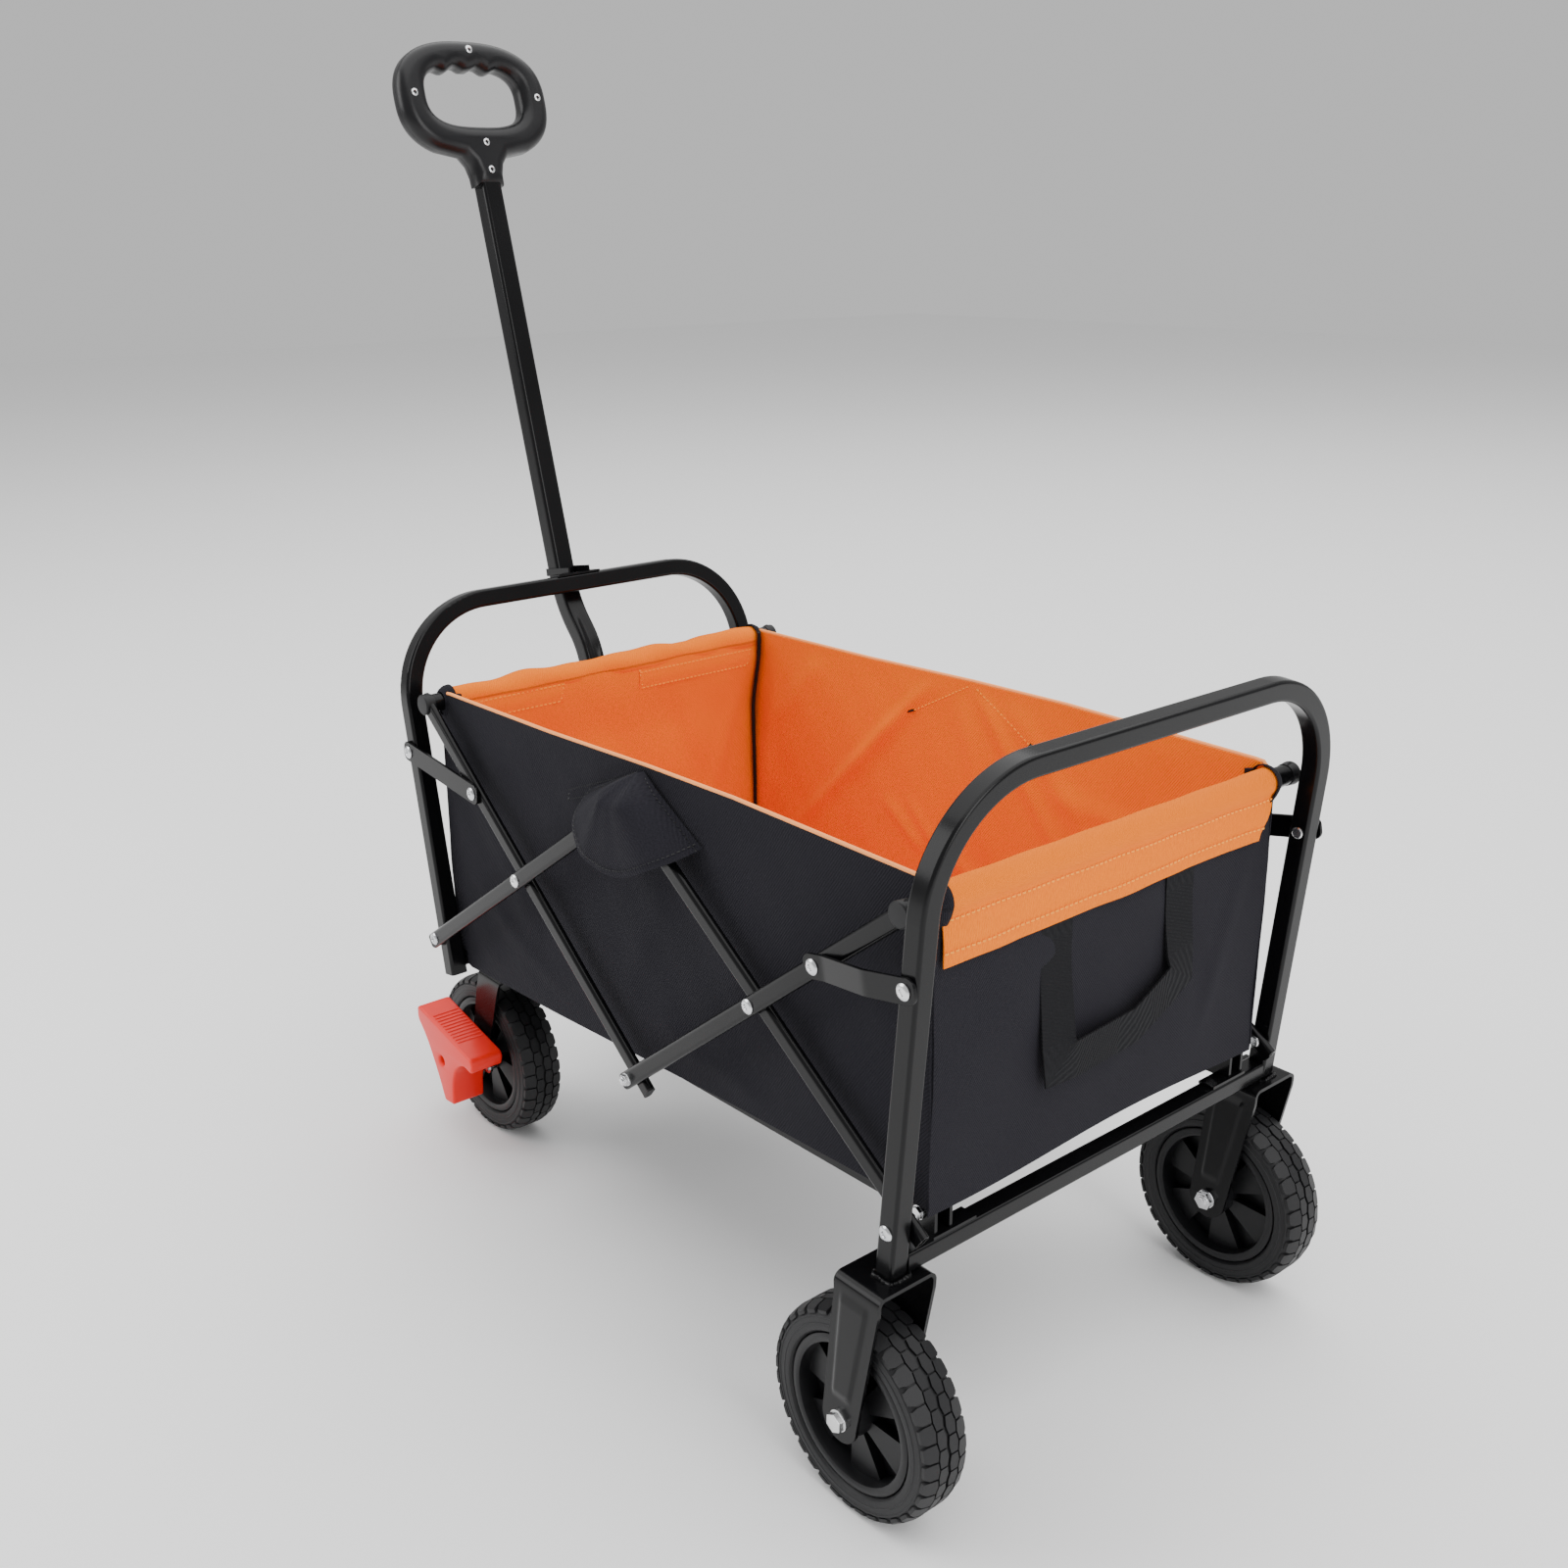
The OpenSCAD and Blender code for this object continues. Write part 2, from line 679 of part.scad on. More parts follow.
module front_rail_brackets() {
    color("black") at_mid() both_sides() {
        rail_ears(front_rail_pin, front_rail_y, -330, -312, 227, 242);
    }
}

// ---- Handle ----

module handle_bracket() {
    color("black") at_mid() difference() {
        union() {
            for (ear = [-1, 1]) extrude_y(ear * 13.5 - 1.5, ear * 13.5 + 1.5) {
                translate([-handle_x, handle_z]) circle(10);
                translate([-handle_x, handle_z - 10]) square([18, 20]);
                translate([-caster_x - 9 - 9, front_bar_z - 7]) square([9, 14]);
            }
            translate([-caster_x - 12, -15, front_bar_z - 7]) cube([3, 30, 14]);
        }
        translate([-handle_x, 0, handle_z]) y_rod(pin_r + 1, -20, 20);
    }
}

// Spring saddle on the front top bar: two arms that hold the handle tube between them
module handle_clip() {
    bar_x = -pivot_x - front_rise * sin(front_lean);
    bar_z = pivot_z + front_rise * cos(front_lean);
    color("black") at_mid() translate([bar_x, 0, bar_z]) rotate([0, -front_lean, 0]) {
        translate([-9, -26, frame_tube / 2]) cube([18, 52, 2]);
        both_sides() translate([-36, pole_w / 2 + gap, frame_tube / 2]) cube([45, 2, 8]);
    }
}

function run_of(i) = (pole_path[i + 1] - pole_path[i]) / norm(pole_path[i + 1] - pole_path[i]);
function left_of(v) = [-v[1], v[0]];
// Offset to the tube's left edge at a path point, mitred where two runs meet
function edge_at(i, w) =
    i == 0 ? left_of(run_of(0)) * w / 2
    : i == pole_last ? left_of(run_of(i - 1)) * w / 2
    : (left_of(run_of(i - 1)) + left_of(run_of(i))) * w / 2 / (1 + run_of(i - 1) * run_of(i));

// Outline of the bent handle tube in the XZ plane
module pole_outline(w) {
    polygon([
        for (i = [0:pole_last]) pole_path[i] + edge_at(i, w),
        for (i = [pole_last:-1:0]) pole_path[i] - edge_at(i, w)]);
}

module handle_pole() {
    color("black") difference() {
        at_mid() difference() {
            extrude_y(-pole_w / 2, pole_w / 2) pole_outline(pole_w);
            extrude_y(-pole_w / 2 + tube_wall, pole_w / 2 - tube_wall) pole_outline(pole_w - 2 * tube_wall);
            translate([-handle_x, 0, handle_z]) y_rod(pin_r + 1 + running, -pole_w, pole_w);
        }
        in_grip() translate([0, grip_screw_points[4][1], -grip_t]) cylinder(r = 2.3, h = 2 * grip_t);
    }
}

// Grip parts are drawn in the handle tube's own plane: local X across the hand, local Y up the tube
module in_grip() {
    at_mid() translate([handle_shoulder[0], 0, handle_shoulder[1]]) rotate([0, -pole_lean, 0])
        translate([0, 0, grip_rise]) rotate([90, 0, 90]) children();
}

module grip_outline() {
    loop_mid = neck_h + grip_h / 2;
    difference() {
        union() {
            translate([0, loop_mid]) rounded_rect(grip_w, grip_h, 52);
            translate([-neck_w / 2, 0]) square([neck_w, neck_h + 6]);
            translate([0, neck_h + 2]) circle(neck_w / 2 + 10);
        }
        translate([0, loop_mid + 3]) rounded_rect(grip_slot_w, grip_slot_h, 26);
        translate([-neck_w, -60]) square([2 * neck_w, 60]);
    }
}

module grip_half(from) {
    color("black") in_grip() difference() {
        translate([0, 0, from]) linear_extrude(grip_t / 2) grip_outline();
        translate([-pole_w / 2 - 0.1, -1, -pole_w / 2 - 0.1]) cube([pole_w + 0.2, 24, pole_w + 0.2]);
        for (p = grip_screw_points) translate([p[0], p[1], grip_t / 2 - 3]) cylinder(r = 4.2, h = 4);
        for (p = grip_screw_points) translate([p[0], p[1], -grip_t / 2 + 2]) cylinder(r = 2, h = grip_t - 4);
    }
}

module grip_screws() {
    color("silver") in_grip() for (p = grip_screw_points) translate([p[0], p[1], 0]) {
        translate([0, 0, grip_t / 2 - 3]) cylinder(r = 4, h = 2.4);
        translate([0, 0, -grip_t / 2 + 2]) cylinder(r = 2, h = grip_t - 5);
    }
}

// ---- Basket ----

module bag_sides() {
    color("black") at_mid() both_sides() extrude_y(bag_half_w - cloth, bag_half_w) polygon([
        [-bag_half_l, floor_z(-bag_half_l)], [bag_half_l, floor_z(bag_half_l)],
        [bag_half_l, rod_z - 20], [rod_x - 28, rim_z], [28 - rod_x, rim_z], [-bag_half_l, rod_z - 20]]);
}

module bag_ends() {
    inner = bag_half_w - cloth;
    color("black") at_mid() for (end = [-1, 1]) {
        low = floor_z(end * bag_half_l) + 0.2;
        translate([end * (bag_half_l - cloth / 2) - cloth / 2, -inner, low]) cube([cloth, 2 * inner, hem_top - low]);
    }
}

module bag_floor() {
    inner = bag_half_w - cloth;
    reach = bag_half_l - cloth;
    color("black") at_mid() extrude_y(-inner, inner) polygon([
        [-reach, floor_z(-reach)], [reach, floor_z(reach)],
        [reach, floor_z(reach) + cloth], [-reach, floor_z(-reach) + cloth]]);
}

// Half-round flaps that hang outside the upper centre pivots
module bag_flaps() {
    color("black") at_mid() both_sides() {
        extrude_y(flap_y, flap_y + cloth) intersection() {
            translate([0, flap_low_z + flap_half_w]) circle(flap_half_w);
            translate([-flap_half_w, flap_low_z]) square([2 * flap_half_w, flap_top_z - flap_low_z]);
        }
        translate([-60, bag_half_w, flap_top_z - cloth]) cube([120, flap_y - bag_half_w, cloth]);
    }
}

// Webbing loop on the outside of the rear wall
module carry_strap() {
    outline = [[-77, 466], [-77, 322], [-50, 300], [105, 340], [105, 466], [75, 466], [75, 364], [-47, 334], [-47, 466]];
    color("black") at_mid() translate([bag_half_l + 0.3, 0, 0]) extrude_x(cloth) polygon(outline);
}

module hem(x) {
    at_mid() translate([x, 0, rod_z]) difference() {
        y_rod(hem_r, -hem_half_w, hem_half_w);
        y_rod(rod_r + 0.3, -hem_half_w - 1, hem_half_w + 1);
    }
}

module rear_hem() {
    color("orange") hem(rod_x);
}

module front_hem() {
    color("orange") hem(-rod_x);
}

rear_frame_tube();
rear_crossbar();
rear_fork(-1);  // rear_fork_left
rear_fork(1);  // rear_fork_right
rear_rail_brackets();
rear_axle_bolts();
rear_frame_pins();
rear_wheel_place(-1) tyre();  // rear_tyre_left
rear_wheel_place(1) tyre();  // rear_tyre_right
rear_wheel_place(-1) rim();  // rear_rim_left
rear_wheel_place(1) rim();  // rear_rim_right
rear_cross(-1);  // rear_cross_left
rear_cross(1);  // rear_cross_right
rear_cross_rivets();
rear_lift(-1);  // rear_lift_left
rear_lift(1);  // rear_lift_right
rear_hem_rod();
rear_lift_plugs();
centre_bolts();
front_cross(-1);  // front_cross_left
front_cross(1);  // front_cross_right
front_lift(-1);  // front_lift_left
front_lift(1);  // front_lift_right
front_hem_rod();
front_lift_caps();
front_cross_rivets();
front_frame_tube();
front_crossbar();
front_rail_brackets();
front_frame_pins();
handle_bracket();
handle_clip();
caster_plates();
caster_fork(-1);  // caster_fork_left
caster_fork(1);  // caster_fork_right
caster_wheel_place(-1) tyre();  // caster_tyre_left
caster_wheel_place(1) tyre();  // caster_tyre_right
caster_wheel_place(-1) rim();  // caster_rim_left
caster_wheel_place(1) rim();  // caster_rim_right
caster_axle(-1);  // caster_axle_left
caster_axle(1);  // caster_axle_right
brake_pedal(-1);  // brake_pedal_left
brake_pedal(1);  // brake_pedal_right
rear_links();
front_links();
rear_rails();
front_rails();
rear_base_board();
front_base_board();
handle_pole();
grip_half(-grip_t / 2);  // grip_front
grip_half(0);  // grip_rear
grip_screws();
bag_sides();
bag_ends();
bag_floor();
bag_flaps();
carry_strap();
rear_hem();
front_hem();
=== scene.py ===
"""Looks of the folding wagon: painted steel frame, rubber wheels, red brake pedals and a fabric basket.

Sizes are in millimetres from the fold centre on the ground: X runs to the rear, Y to the right, Z up.
"""
import json
from math import copysign, cos, exp, hypot, pi, radians, sin, sqrt, tau

import bmesh
import bpy
from mathutils import Matrix, Vector


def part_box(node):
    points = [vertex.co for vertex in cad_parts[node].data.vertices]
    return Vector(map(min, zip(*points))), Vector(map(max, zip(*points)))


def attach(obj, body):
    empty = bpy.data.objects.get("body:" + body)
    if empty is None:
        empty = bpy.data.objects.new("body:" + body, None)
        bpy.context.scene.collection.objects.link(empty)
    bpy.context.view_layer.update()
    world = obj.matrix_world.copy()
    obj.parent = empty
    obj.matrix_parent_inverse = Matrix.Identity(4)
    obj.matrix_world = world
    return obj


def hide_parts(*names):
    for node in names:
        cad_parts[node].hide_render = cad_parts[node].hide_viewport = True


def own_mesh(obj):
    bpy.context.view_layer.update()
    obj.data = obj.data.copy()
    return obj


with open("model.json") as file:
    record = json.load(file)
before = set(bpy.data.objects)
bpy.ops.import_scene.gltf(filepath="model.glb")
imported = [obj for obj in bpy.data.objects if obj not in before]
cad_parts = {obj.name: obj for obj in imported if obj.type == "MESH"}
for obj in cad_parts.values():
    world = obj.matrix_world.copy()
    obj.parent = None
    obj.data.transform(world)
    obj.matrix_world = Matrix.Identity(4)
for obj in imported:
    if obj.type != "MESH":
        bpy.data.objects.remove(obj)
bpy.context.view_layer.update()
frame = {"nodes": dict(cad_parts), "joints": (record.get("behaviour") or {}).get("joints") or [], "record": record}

MM = 0.001
SIDES = {"left": -1, "right": 1}


def box_centre(node):
    low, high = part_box(node)
    return (low + high) / 2


def box_across(node):
    """Middle and half width of a node across the wagon, in millimetres."""
    low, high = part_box(node)
    return (low.y + high.y) / 2 / MM, (high.y - low.y) / 2 / MM


# The fold centre is halfway between the two hem rods.
FOLD_X = (box_centre("rear_hem_rod").x + box_centre("front_hem_rod").x) / 2


def place(x, y, z):
    return Vector((FOLD_X + x * MM, y * MM, z * MM))


def in_mm(point):
    """A point of the frame, in millimetres from the fold centre."""
    x, y, z = point
    return ((x - FOLD_X) / MM, y / MM, z / MM)


def centre_point(node):
    x, _, z = in_mm(box_centre(node))
    return (x, z)


def lerp(a, b, t):
    return a + (b - a) * t


def smoothstep(low, high, value):
    t = min(max((value - low) / (high - low), 0.0), 1.0)
    return t * t * (3 - 2 * t)


def stations(table, value):
    """Linear interpolation in a short table of (value, result) pairs in rising order."""
    for (v0, r0), (v1, r1) in zip(table, table[1:]):
        if value <= v1:
            return lerp(r0, r1, max(value - v0, 0) / (v1 - v0))
    return table[-1][1]


# ---------------------------------------------------------------- camera, floor and light

CAMERA_AT = (1089, -963, 961)
CAMERA_TURN = 49.91
CAMERA_TILT = 18.85
CAMERA_ROLL = -0.43
LENS_PER_WIDTH = 1.0546


def make_camera():
    data = bpy.data.cameras.new("camera")
    data.sensor_width = 36
    data.lens = 36 * LENS_PER_WIDTH
    camera = bpy.data.objects.new("camera", data)
    bpy.context.scene.collection.objects.link(camera)
    turn = (
        Matrix.Rotation(radians(CAMERA_TURN), 4, "Z")
        @ Matrix.Rotation(radians(90 - CAMERA_TILT), 4, "X")
        @ Matrix.Rotation(radians(CAMERA_ROLL), 4, "Z")
    )
    camera.matrix_world = Matrix.Translation(place(*CAMERA_AT)) @ turn
    bpy.context.scene.camera = camera


def make_floor():
    size = 12
    mesh = bpy.data.meshes.new("floor")
    corners = [(-size, -size, 0), (size, -size, 0), (size, size, 0), (-size, size, 0)]
    mesh.from_pydata(corners, [], [(0, 1, 2, 3)])
    floor = bpy.data.objects.new("floor", mesh)
    bpy.context.scene.collection.objects.link(floor)
    mesh.materials.append(simple_look("floor_paper", (0.93, 0.93, 0.93), 0.9))


def add_area_light(name, at, target, width, height, watts):
    data = bpy.data.lights.new(name, "AREA")
    data.shape = "RECTANGLE"
    data.size = width
    data.size_y = height
    data.energy = watts
    light = bpy.data.objects.new(name, data)
    bpy.context.scene.collection.objects.link(light)
    light.location = Vector(at)
    aim = Vector(target) - Vector(at)
    light.rotation_euler = aim.to_track_quat("-Z", "Y").to_euler()


def make_lights():
    world = bpy.data.worlds.new("studio")
    bpy.context.scene.world = world
    world.use_nodes = True
    background = world.node_tree.nodes["Background"]
    background.inputs["Color"].default_value = (1, 1, 1, 1)
    background.inputs["Strength"].default_value = 0.62
    middle = (0, 0, 0.4)
    add_area_light("overhead", (0.0, 1.2, 4.6), (0, 1.2, 0), 8.0, 8.0, 420)
    add_area_light("left_window", (-1.9, -2.3, 1.9), middle, 1.8, 2.0, 42)
    add_area_light("rear_window", (2.9, -0.2, 1.5), middle, 1.4, 2.0, 40)


# ---------------------------------------------------------------- materials

def new_look(name):
    material = bpy.data.materials.new(name)
    material.use_nodes = True
    return material, material.node_tree, material.node_tree.nodes["Principled BSDF"]


def simple_look(name, color, roughness):
    material, _, shader = new_look(name)
    shader.inputs["Base Color"].default_value = (*color, 1)
    shader.inputs["Roughness"].default_value = roughness
    return material


def add_noise(tree, vector, scale, detail=3.0):
    noise = tree.nodes.new("ShaderNodeTexNoise")
    noise.inputs["Scale"].default_value = scale
    noise.inputs["Detail"].default_value = detail
    tree.links.new(vector, noise.inputs["Vector"])
    return noise.outputs["Fac"]


def add_range(tree, value, low, high):
    """Maps a 0-1 texture value to a range."""
    node = tree.nodes.new("ShaderNodeMapRange")
    node.inputs["To Min"].default_value = low
    node.inputs["To Max"].default_value = high
    tree.links.new(value, node.inputs["Value"])
    return node.outputs["Result"]


def add_bump(tree, shader, height, strength, distance):
    bump = tree.nodes.new("ShaderNodeBump")
    bump.inputs["Strength"].default_value = strength
    bump.inputs["Distance"].default_value = distance
    tree.links.new(height, bump.inputs["Height"])
    tree.links.new(bump.outputs["Normal"], shader.inputs["Normal"])


def add_two_tone(tree, shader, value, dark, light):
    ramp = tree.nodes.new("ShaderNodeValToRGB")
    ramp.color_ramp.elements[0].position = 0.3
    ramp.color_ramp.elements[1].position = 0.7
    ramp.color_ramp.elements[0].color = (*dark, 1)
    ramp.color_ramp.elements[1].color = (*light, 1)
    tree.links.new(value, ramp.inputs["Fac"])
    tree.links.new(ramp.outputs["Color"], shader.inputs["Base Color"])


def grained_look(name, dark, light, rough_low, rough_high, grain, strength, metallic=0.0, shine=0.3):
    """Moulded or coated surface: faint colour and gloss changes with a fine grain."""
    material, tree, shader = new_look(name)
    shader.inputs["Specular IOR Level"].default_value = shine
    position = tree.nodes.new("ShaderNodeTexCoord").outputs["Object"]
    shader.inputs["Metallic"].default_value = metallic
    cloudy = add_noise(tree, position, 14)
    add_two_tone(tree, shader, cloudy, dark, light)
    tree.links.new(add_range(tree, cloudy, rough_low, rough_high), shader.inputs["Roughness"])
    add_bump(tree, shader, add_noise(tree, position, grain, 2.0), strength, 0.0004)
    return material


def fabric_look(name, dark, light, thread, strength, sheen):
    """Twill: fine slanting ribs over the cloth's own length and width, with slight shading."""
    material, tree, shader = new_look(name)
    shader.inputs["Specular IOR Level"].default_value = 0.12
    coordinates = tree.nodes.new("ShaderNodeTexCoord").outputs["UV"]
    turn = tree.nodes.new("ShaderNodeMapping")
    turn.inputs["Rotation"].default_value = (0, 0, radians(35))
    tree.links.new(coordinates, turn.inputs["Vector"])
    ribs = tree.nodes.new("ShaderNodeTexWave")
    ribs.inputs["Scale"].default_value = 1 / (thread * MM) / 6.3
    ribs.inputs["Distortion"].default_value = 1.2
    ribs.inputs["Detail"].default_value = 1.0
    ribs.inputs["Detail Scale"].default_value = 3.0
    tree.links.new(turn.outputs["Vector"], ribs.inputs["Vector"])
    add_two_tone(tree, shader, add_noise(tree, coordinates, 900, 2.0), dark, light)
    shader.inputs["Roughness"].default_value = 0.82
    shader.inputs["Sheen Weight"].default_value = sheen
    shader.inputs["Sheen Roughness"].default_value = 0.5
    add_bump(tree, shader, ribs.outputs["Fac"], strength, 0.0005)
    return material


LOOKS = {
    "black_paint": grained_look(
        "black_powder_coat", (0.0022, 0.0022, 0.0026), (0.0038, 0.0038, 0.0043), 0.17, 0.24, 900, 0.05,
        shine=0.21),
    "zinc": grained_look(
        "zinc_plate", (0.60, 0.61, 0.63), (0.82, 0.82, 0.82), 0.18, 0.32, 300, 0.04, metallic=1.0, shine=0.5),
    "tyre": grained_look("tyre_rubber", (0.007, 0.007, 0.008), (0.012, 0.012, 0.013), 0.42, 0.55, 600, 0.25),
    "wheel_plastic": grained_look(
        "wheel_plastic", (0.004, 0.004, 0.005), (0.008, 0.008, 0.009), 0.36, 0.46, 500, 0.10),
    "cap_plastic": grained_look(
        "cap_plastic", (0.005, 0.005, 0.006), (0.009, 0.009, 0.010), 0.42, 0.52, 500, 0.12),
    "grip_plastic": grained_look(
        "grip_plastic", (0.004, 0.004, 0.005), (0.007, 0.007, 0.008), 0.27, 0.36, 400, 0.08),
    "pedal_plastic": grained_look(
        "red_plastic", (0.80, 0.012, 0.008), (0.88, 0.020, 0.010), 0.25, 0.33, 400, 0.04),
    "orange_fabric": fabric_look("orange_twill", (0.84, 0.172, 0.0), (0.95, 0.215, 0.0), 1.1, 0.7, 0.02),
    "black_fabric": fabric_look(
        "black_twill", (0.0085, 0.0080, 0.0115), (0.0170, 0.0160, 0.0215), 1.1, 0.7, 0.02),
    "webbing": fabric_look("black_webbing", (0.005, 0.005, 0.006), (0.012, 0.012, 0.014), 2.2, 1.0, 0.02),
    "board": grained_look("board_skin", (0.02, 0.02, 0.022), (0.03, 0.03, 0.032), 0.6, 0.7, 300, 0.1),
    "orange_thread": simple_look("orange_thread", (0.96, 0.34, 0.015), 0.7),
    "black_thread": simple_look("black_thread", (0.003, 0.003, 0.004), 0.5),
    # Lighter orange than the lining cloth itself: painted highlight for the bead along the lit top edge of the
    # side walls.
    "cloth_edge_highlight": simple_look("cloth_edge_highlight", (1.0, 0.36, 0.10), 0.8),
}


# ---------------------------------------------------------------- mesh building

def ring_faces(rings, count, closed=True):
    """Quads between rings of count points each; an open ring isn't joined end to end."""
    return [
        (i * count + k, i * count + (k + 1) % count, (i + 1) * count + (k + 1) % count, (i + 1) * count + k)
        for i in range(rings - 1) for k in range(count if closed else count - 1)]


def end_faces(rings, count):
    last = (rings - 1) * count
    return [tuple(range(count)), tuple(range(last, last + count))]


class Shape:
    """One piece's mesh while it is built, in millimetres."""

    def __init__(self):
        self.mesh = bmesh.new()
        self.uv = self.mesh.loops.layers.uv.new("cloth")

    def add_faces(self, points, faces, uvs=None):
        made = [self.mesh.verts.new(p) for p in points]
        for face in faces:
            if len(set(face)) < 3:
                continue
            new = self.mesh.faces.new([made[i] for i in face])
            if uvs:
                for loop, index in zip(new.loops, face):
                    loop[self.uv].uv = uvs[index]
        return made

    def grid(self, point, rows, columns, uv=None, ring=False):
        """Faces over point(u, v) with u and v from 0 to 1. A ring joins its last column to its first."""
        wide = columns if ring else columns + 1
        points = []
        uvs = []
        for i in range(rows + 1):
            for j in range(wide):
                u = i / rows
                v = j / columns
                points.append(point(u, v))
                uvs.append(uv(u, v) if uv else (u, v))
        return self.add_faces(points, ring_faces(rows + 1, wide, ring), uvs)

    def lathe(self, profile, centre=(0, 0, 0), steps=32, ends=True):
        """Turns (along, radius) pairs round the Y axis through centre."""
        x, y, z = centre
        turns = [tau * k / steps for k in range(steps)]
        points = [(x + r * cos(turn), y + along, z + r * sin(turn)) for along, r in profile for turn in turns]
        faces = ring_faces(len(profile), steps) + (end_faces(len(profile), steps) if ends else [])
        return self.add_faces(points, faces)

    def prism(self, outline, low, high, to_space):
        """Extrudes an outline between two levels; to_space(a, b, level) gives the point."""
        count = len(outline)
        points = [to_space(a, b, level) for level in (low, high) for a, b in outline]
        return self.add_faces(points, end_faces(2, count) + ring_faces(2, count))

    def sweep(self, section, path, frames, cap=True):
        """Section points (a, b) carried along path by frames of two side vectors."""
        points = [
            centre + side * a + up * b for centre, (side, up) in zip(path, frames) for a, b in section]
        faces = ring_faces(len(path), len(section)) + (end_faces(len(path), len(section)) if cap else [])
        return self.add_faces(points, faces)

    def bevel(self, width, segments=2, angle=28):
        self.mesh.normal_update()
        inner = [edge for edge in self.mesh.edges if len(edge.link_faces) == 2]
        sharp = [edge for edge in inner if edge.calc_face_angle(0) > radians(angle)]
        bmesh.ops.bevel(
            self.mesh, geom=sharp, offset=width, segments=segments, profile=0.6,
            affect="EDGES", clamp_overlap=True)

    def weld(self, distance=0.01):
        bmesh.ops.remove_doubles(self.mesh, verts=self.mesh.verts, dist=distance)

    def parts(self):
        return self.mesh.verts[:] + self.mesh.edges[:] + self.mesh.faces[:]

    def mirror_y(self):
        """Adds the same geometry on the other side of the wagon."""
        twin = bmesh.ops.duplicate(self.mesh, geom=self.parts())
        for item in twin["geom"]:
            if isinstance(item, bmesh.types.BMVert):
                item.co.y = -item.co.y

    def move(self, change):
        for vertex in self.mesh.verts:
            vertex.co = change(vertex.co)

    def to_side(self, sign):
        """Takes a shape built on the right over to its own side."""
        if sign < 0:
            self.move(lambda p: Vector((p.x, -p.y, p.z)))

    def to_object(self, name, slot, body, replaces=(), sharp=35, look=None, origin=(0, 0, 0)):
        bmesh.ops.recalc_face_normals(self.mesh, faces=self.mesh.faces)
        mesh = bpy.data.meshes.new(name)
        self.mesh.to_mesh(mesh)
        mesh.transform(Matrix.Scale(MM, 4))
        for face in mesh.polygons:
            face.use_smooth = True
        mesh.set_sharp_from_angle(angle=radians(sharp))
        mesh.materials.append(LOOKS[look or slot])
        piece = bpy.data.objects.new(name, mesh)
        bpy.context.scene.collection.objects.link(piece)
        piece.location = place(*origin)
        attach(piece, body)
        if replaces:
            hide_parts(*replaces)
        return piece


def arc(centre, radius, start, end, steps):
    return [
        (centre[0] + radius * cos(radians(lerp(start, end, k / steps))),
         centre[1] + radius * sin(radians(lerp(start, end, k / steps))))
        for k in range(steps + 1)]


def rounded_square(size, radius, steps=5):
    c = size / 2 - radius
    points = []
    for k, (x, y) in enumerate([(c, c), (-c, c), (-c, -c), (c, -c)]):
        points += arc((x, y), radius, 90 * k, 90 * k + 90, steps)
    return points


# ---------------------------------------------------------------- wheels

TYRE_R = 89
RIM_R = 66
RIM_BORE_R = 57
TREAD_BLOCKS = 36
SPOKES = 6


def crown(w):
    """Radius of the tread at a distance from the tyre's middle plane."""
    edge = max(abs(w) - 12, 0)
    return TYRE_R - 0.042 * edge * edge


def tyre_shape():
    shape = Shape()
    half = [
        (0, crown(0) - 2.2), (8, crown(8) - 2.2), (14, crown(14) - 2.2), (18, crown(18) - 2.4),
        (20.6, 82.6), (21.8, 80.6), (22.3, 80.2), (22.4, 79.2), (21.9, 78.6), (22.2, 74.6), (22.7, 74.2),
        (22.8, 73.4), (22.4, 72.9), (22.6, 70.4), (22.2, 68.2), (20.5, 66.6), (18.5, RIM_R)]
    profile = [(-w, r) for w, r in reversed(half)] + half[1:]
    shape.lathe(profile + profile[:1], steps=96, ends=False)
    pitch = tau * TYRE_R / TREAD_BLOCKS
    middle = [
        (0.7, 2.1), (pitch / 2, 0.6), (pitch - 0.7, 2.1), (pitch - 0.7, 8.8), (pitch / 2, 10.0), (0.7, 8.8)]
    shoulder = [
        (0.9, 11.3), (pitch / 2, 10.0), (pitch - 0.9, 11.3), (pitch - 0.9, 18.6), (pitch - 2.6, 21.9),
        (pitch / 2, 22.2), (2.6, 21.9), (0.9, 18.6)]
    for side in (-1, 1):
        for outline, shift in ((middle, 0.0), (shoulder, 0.5)):
            for k in range(TREAD_BLOCKS):
                start = (k + shift + (0.5 if side > 0 else 0)) * pitch

                def on_tread(s, w, level, start=start, side=side):
                    angle = (start + s) / TYRE_R
                    radius = crown(w) + level
                    return (radius * cos(angle), side * w, radius * sin(angle))

                shape.prism(outline, -3.0, 0.0, on_tread)
    return shape


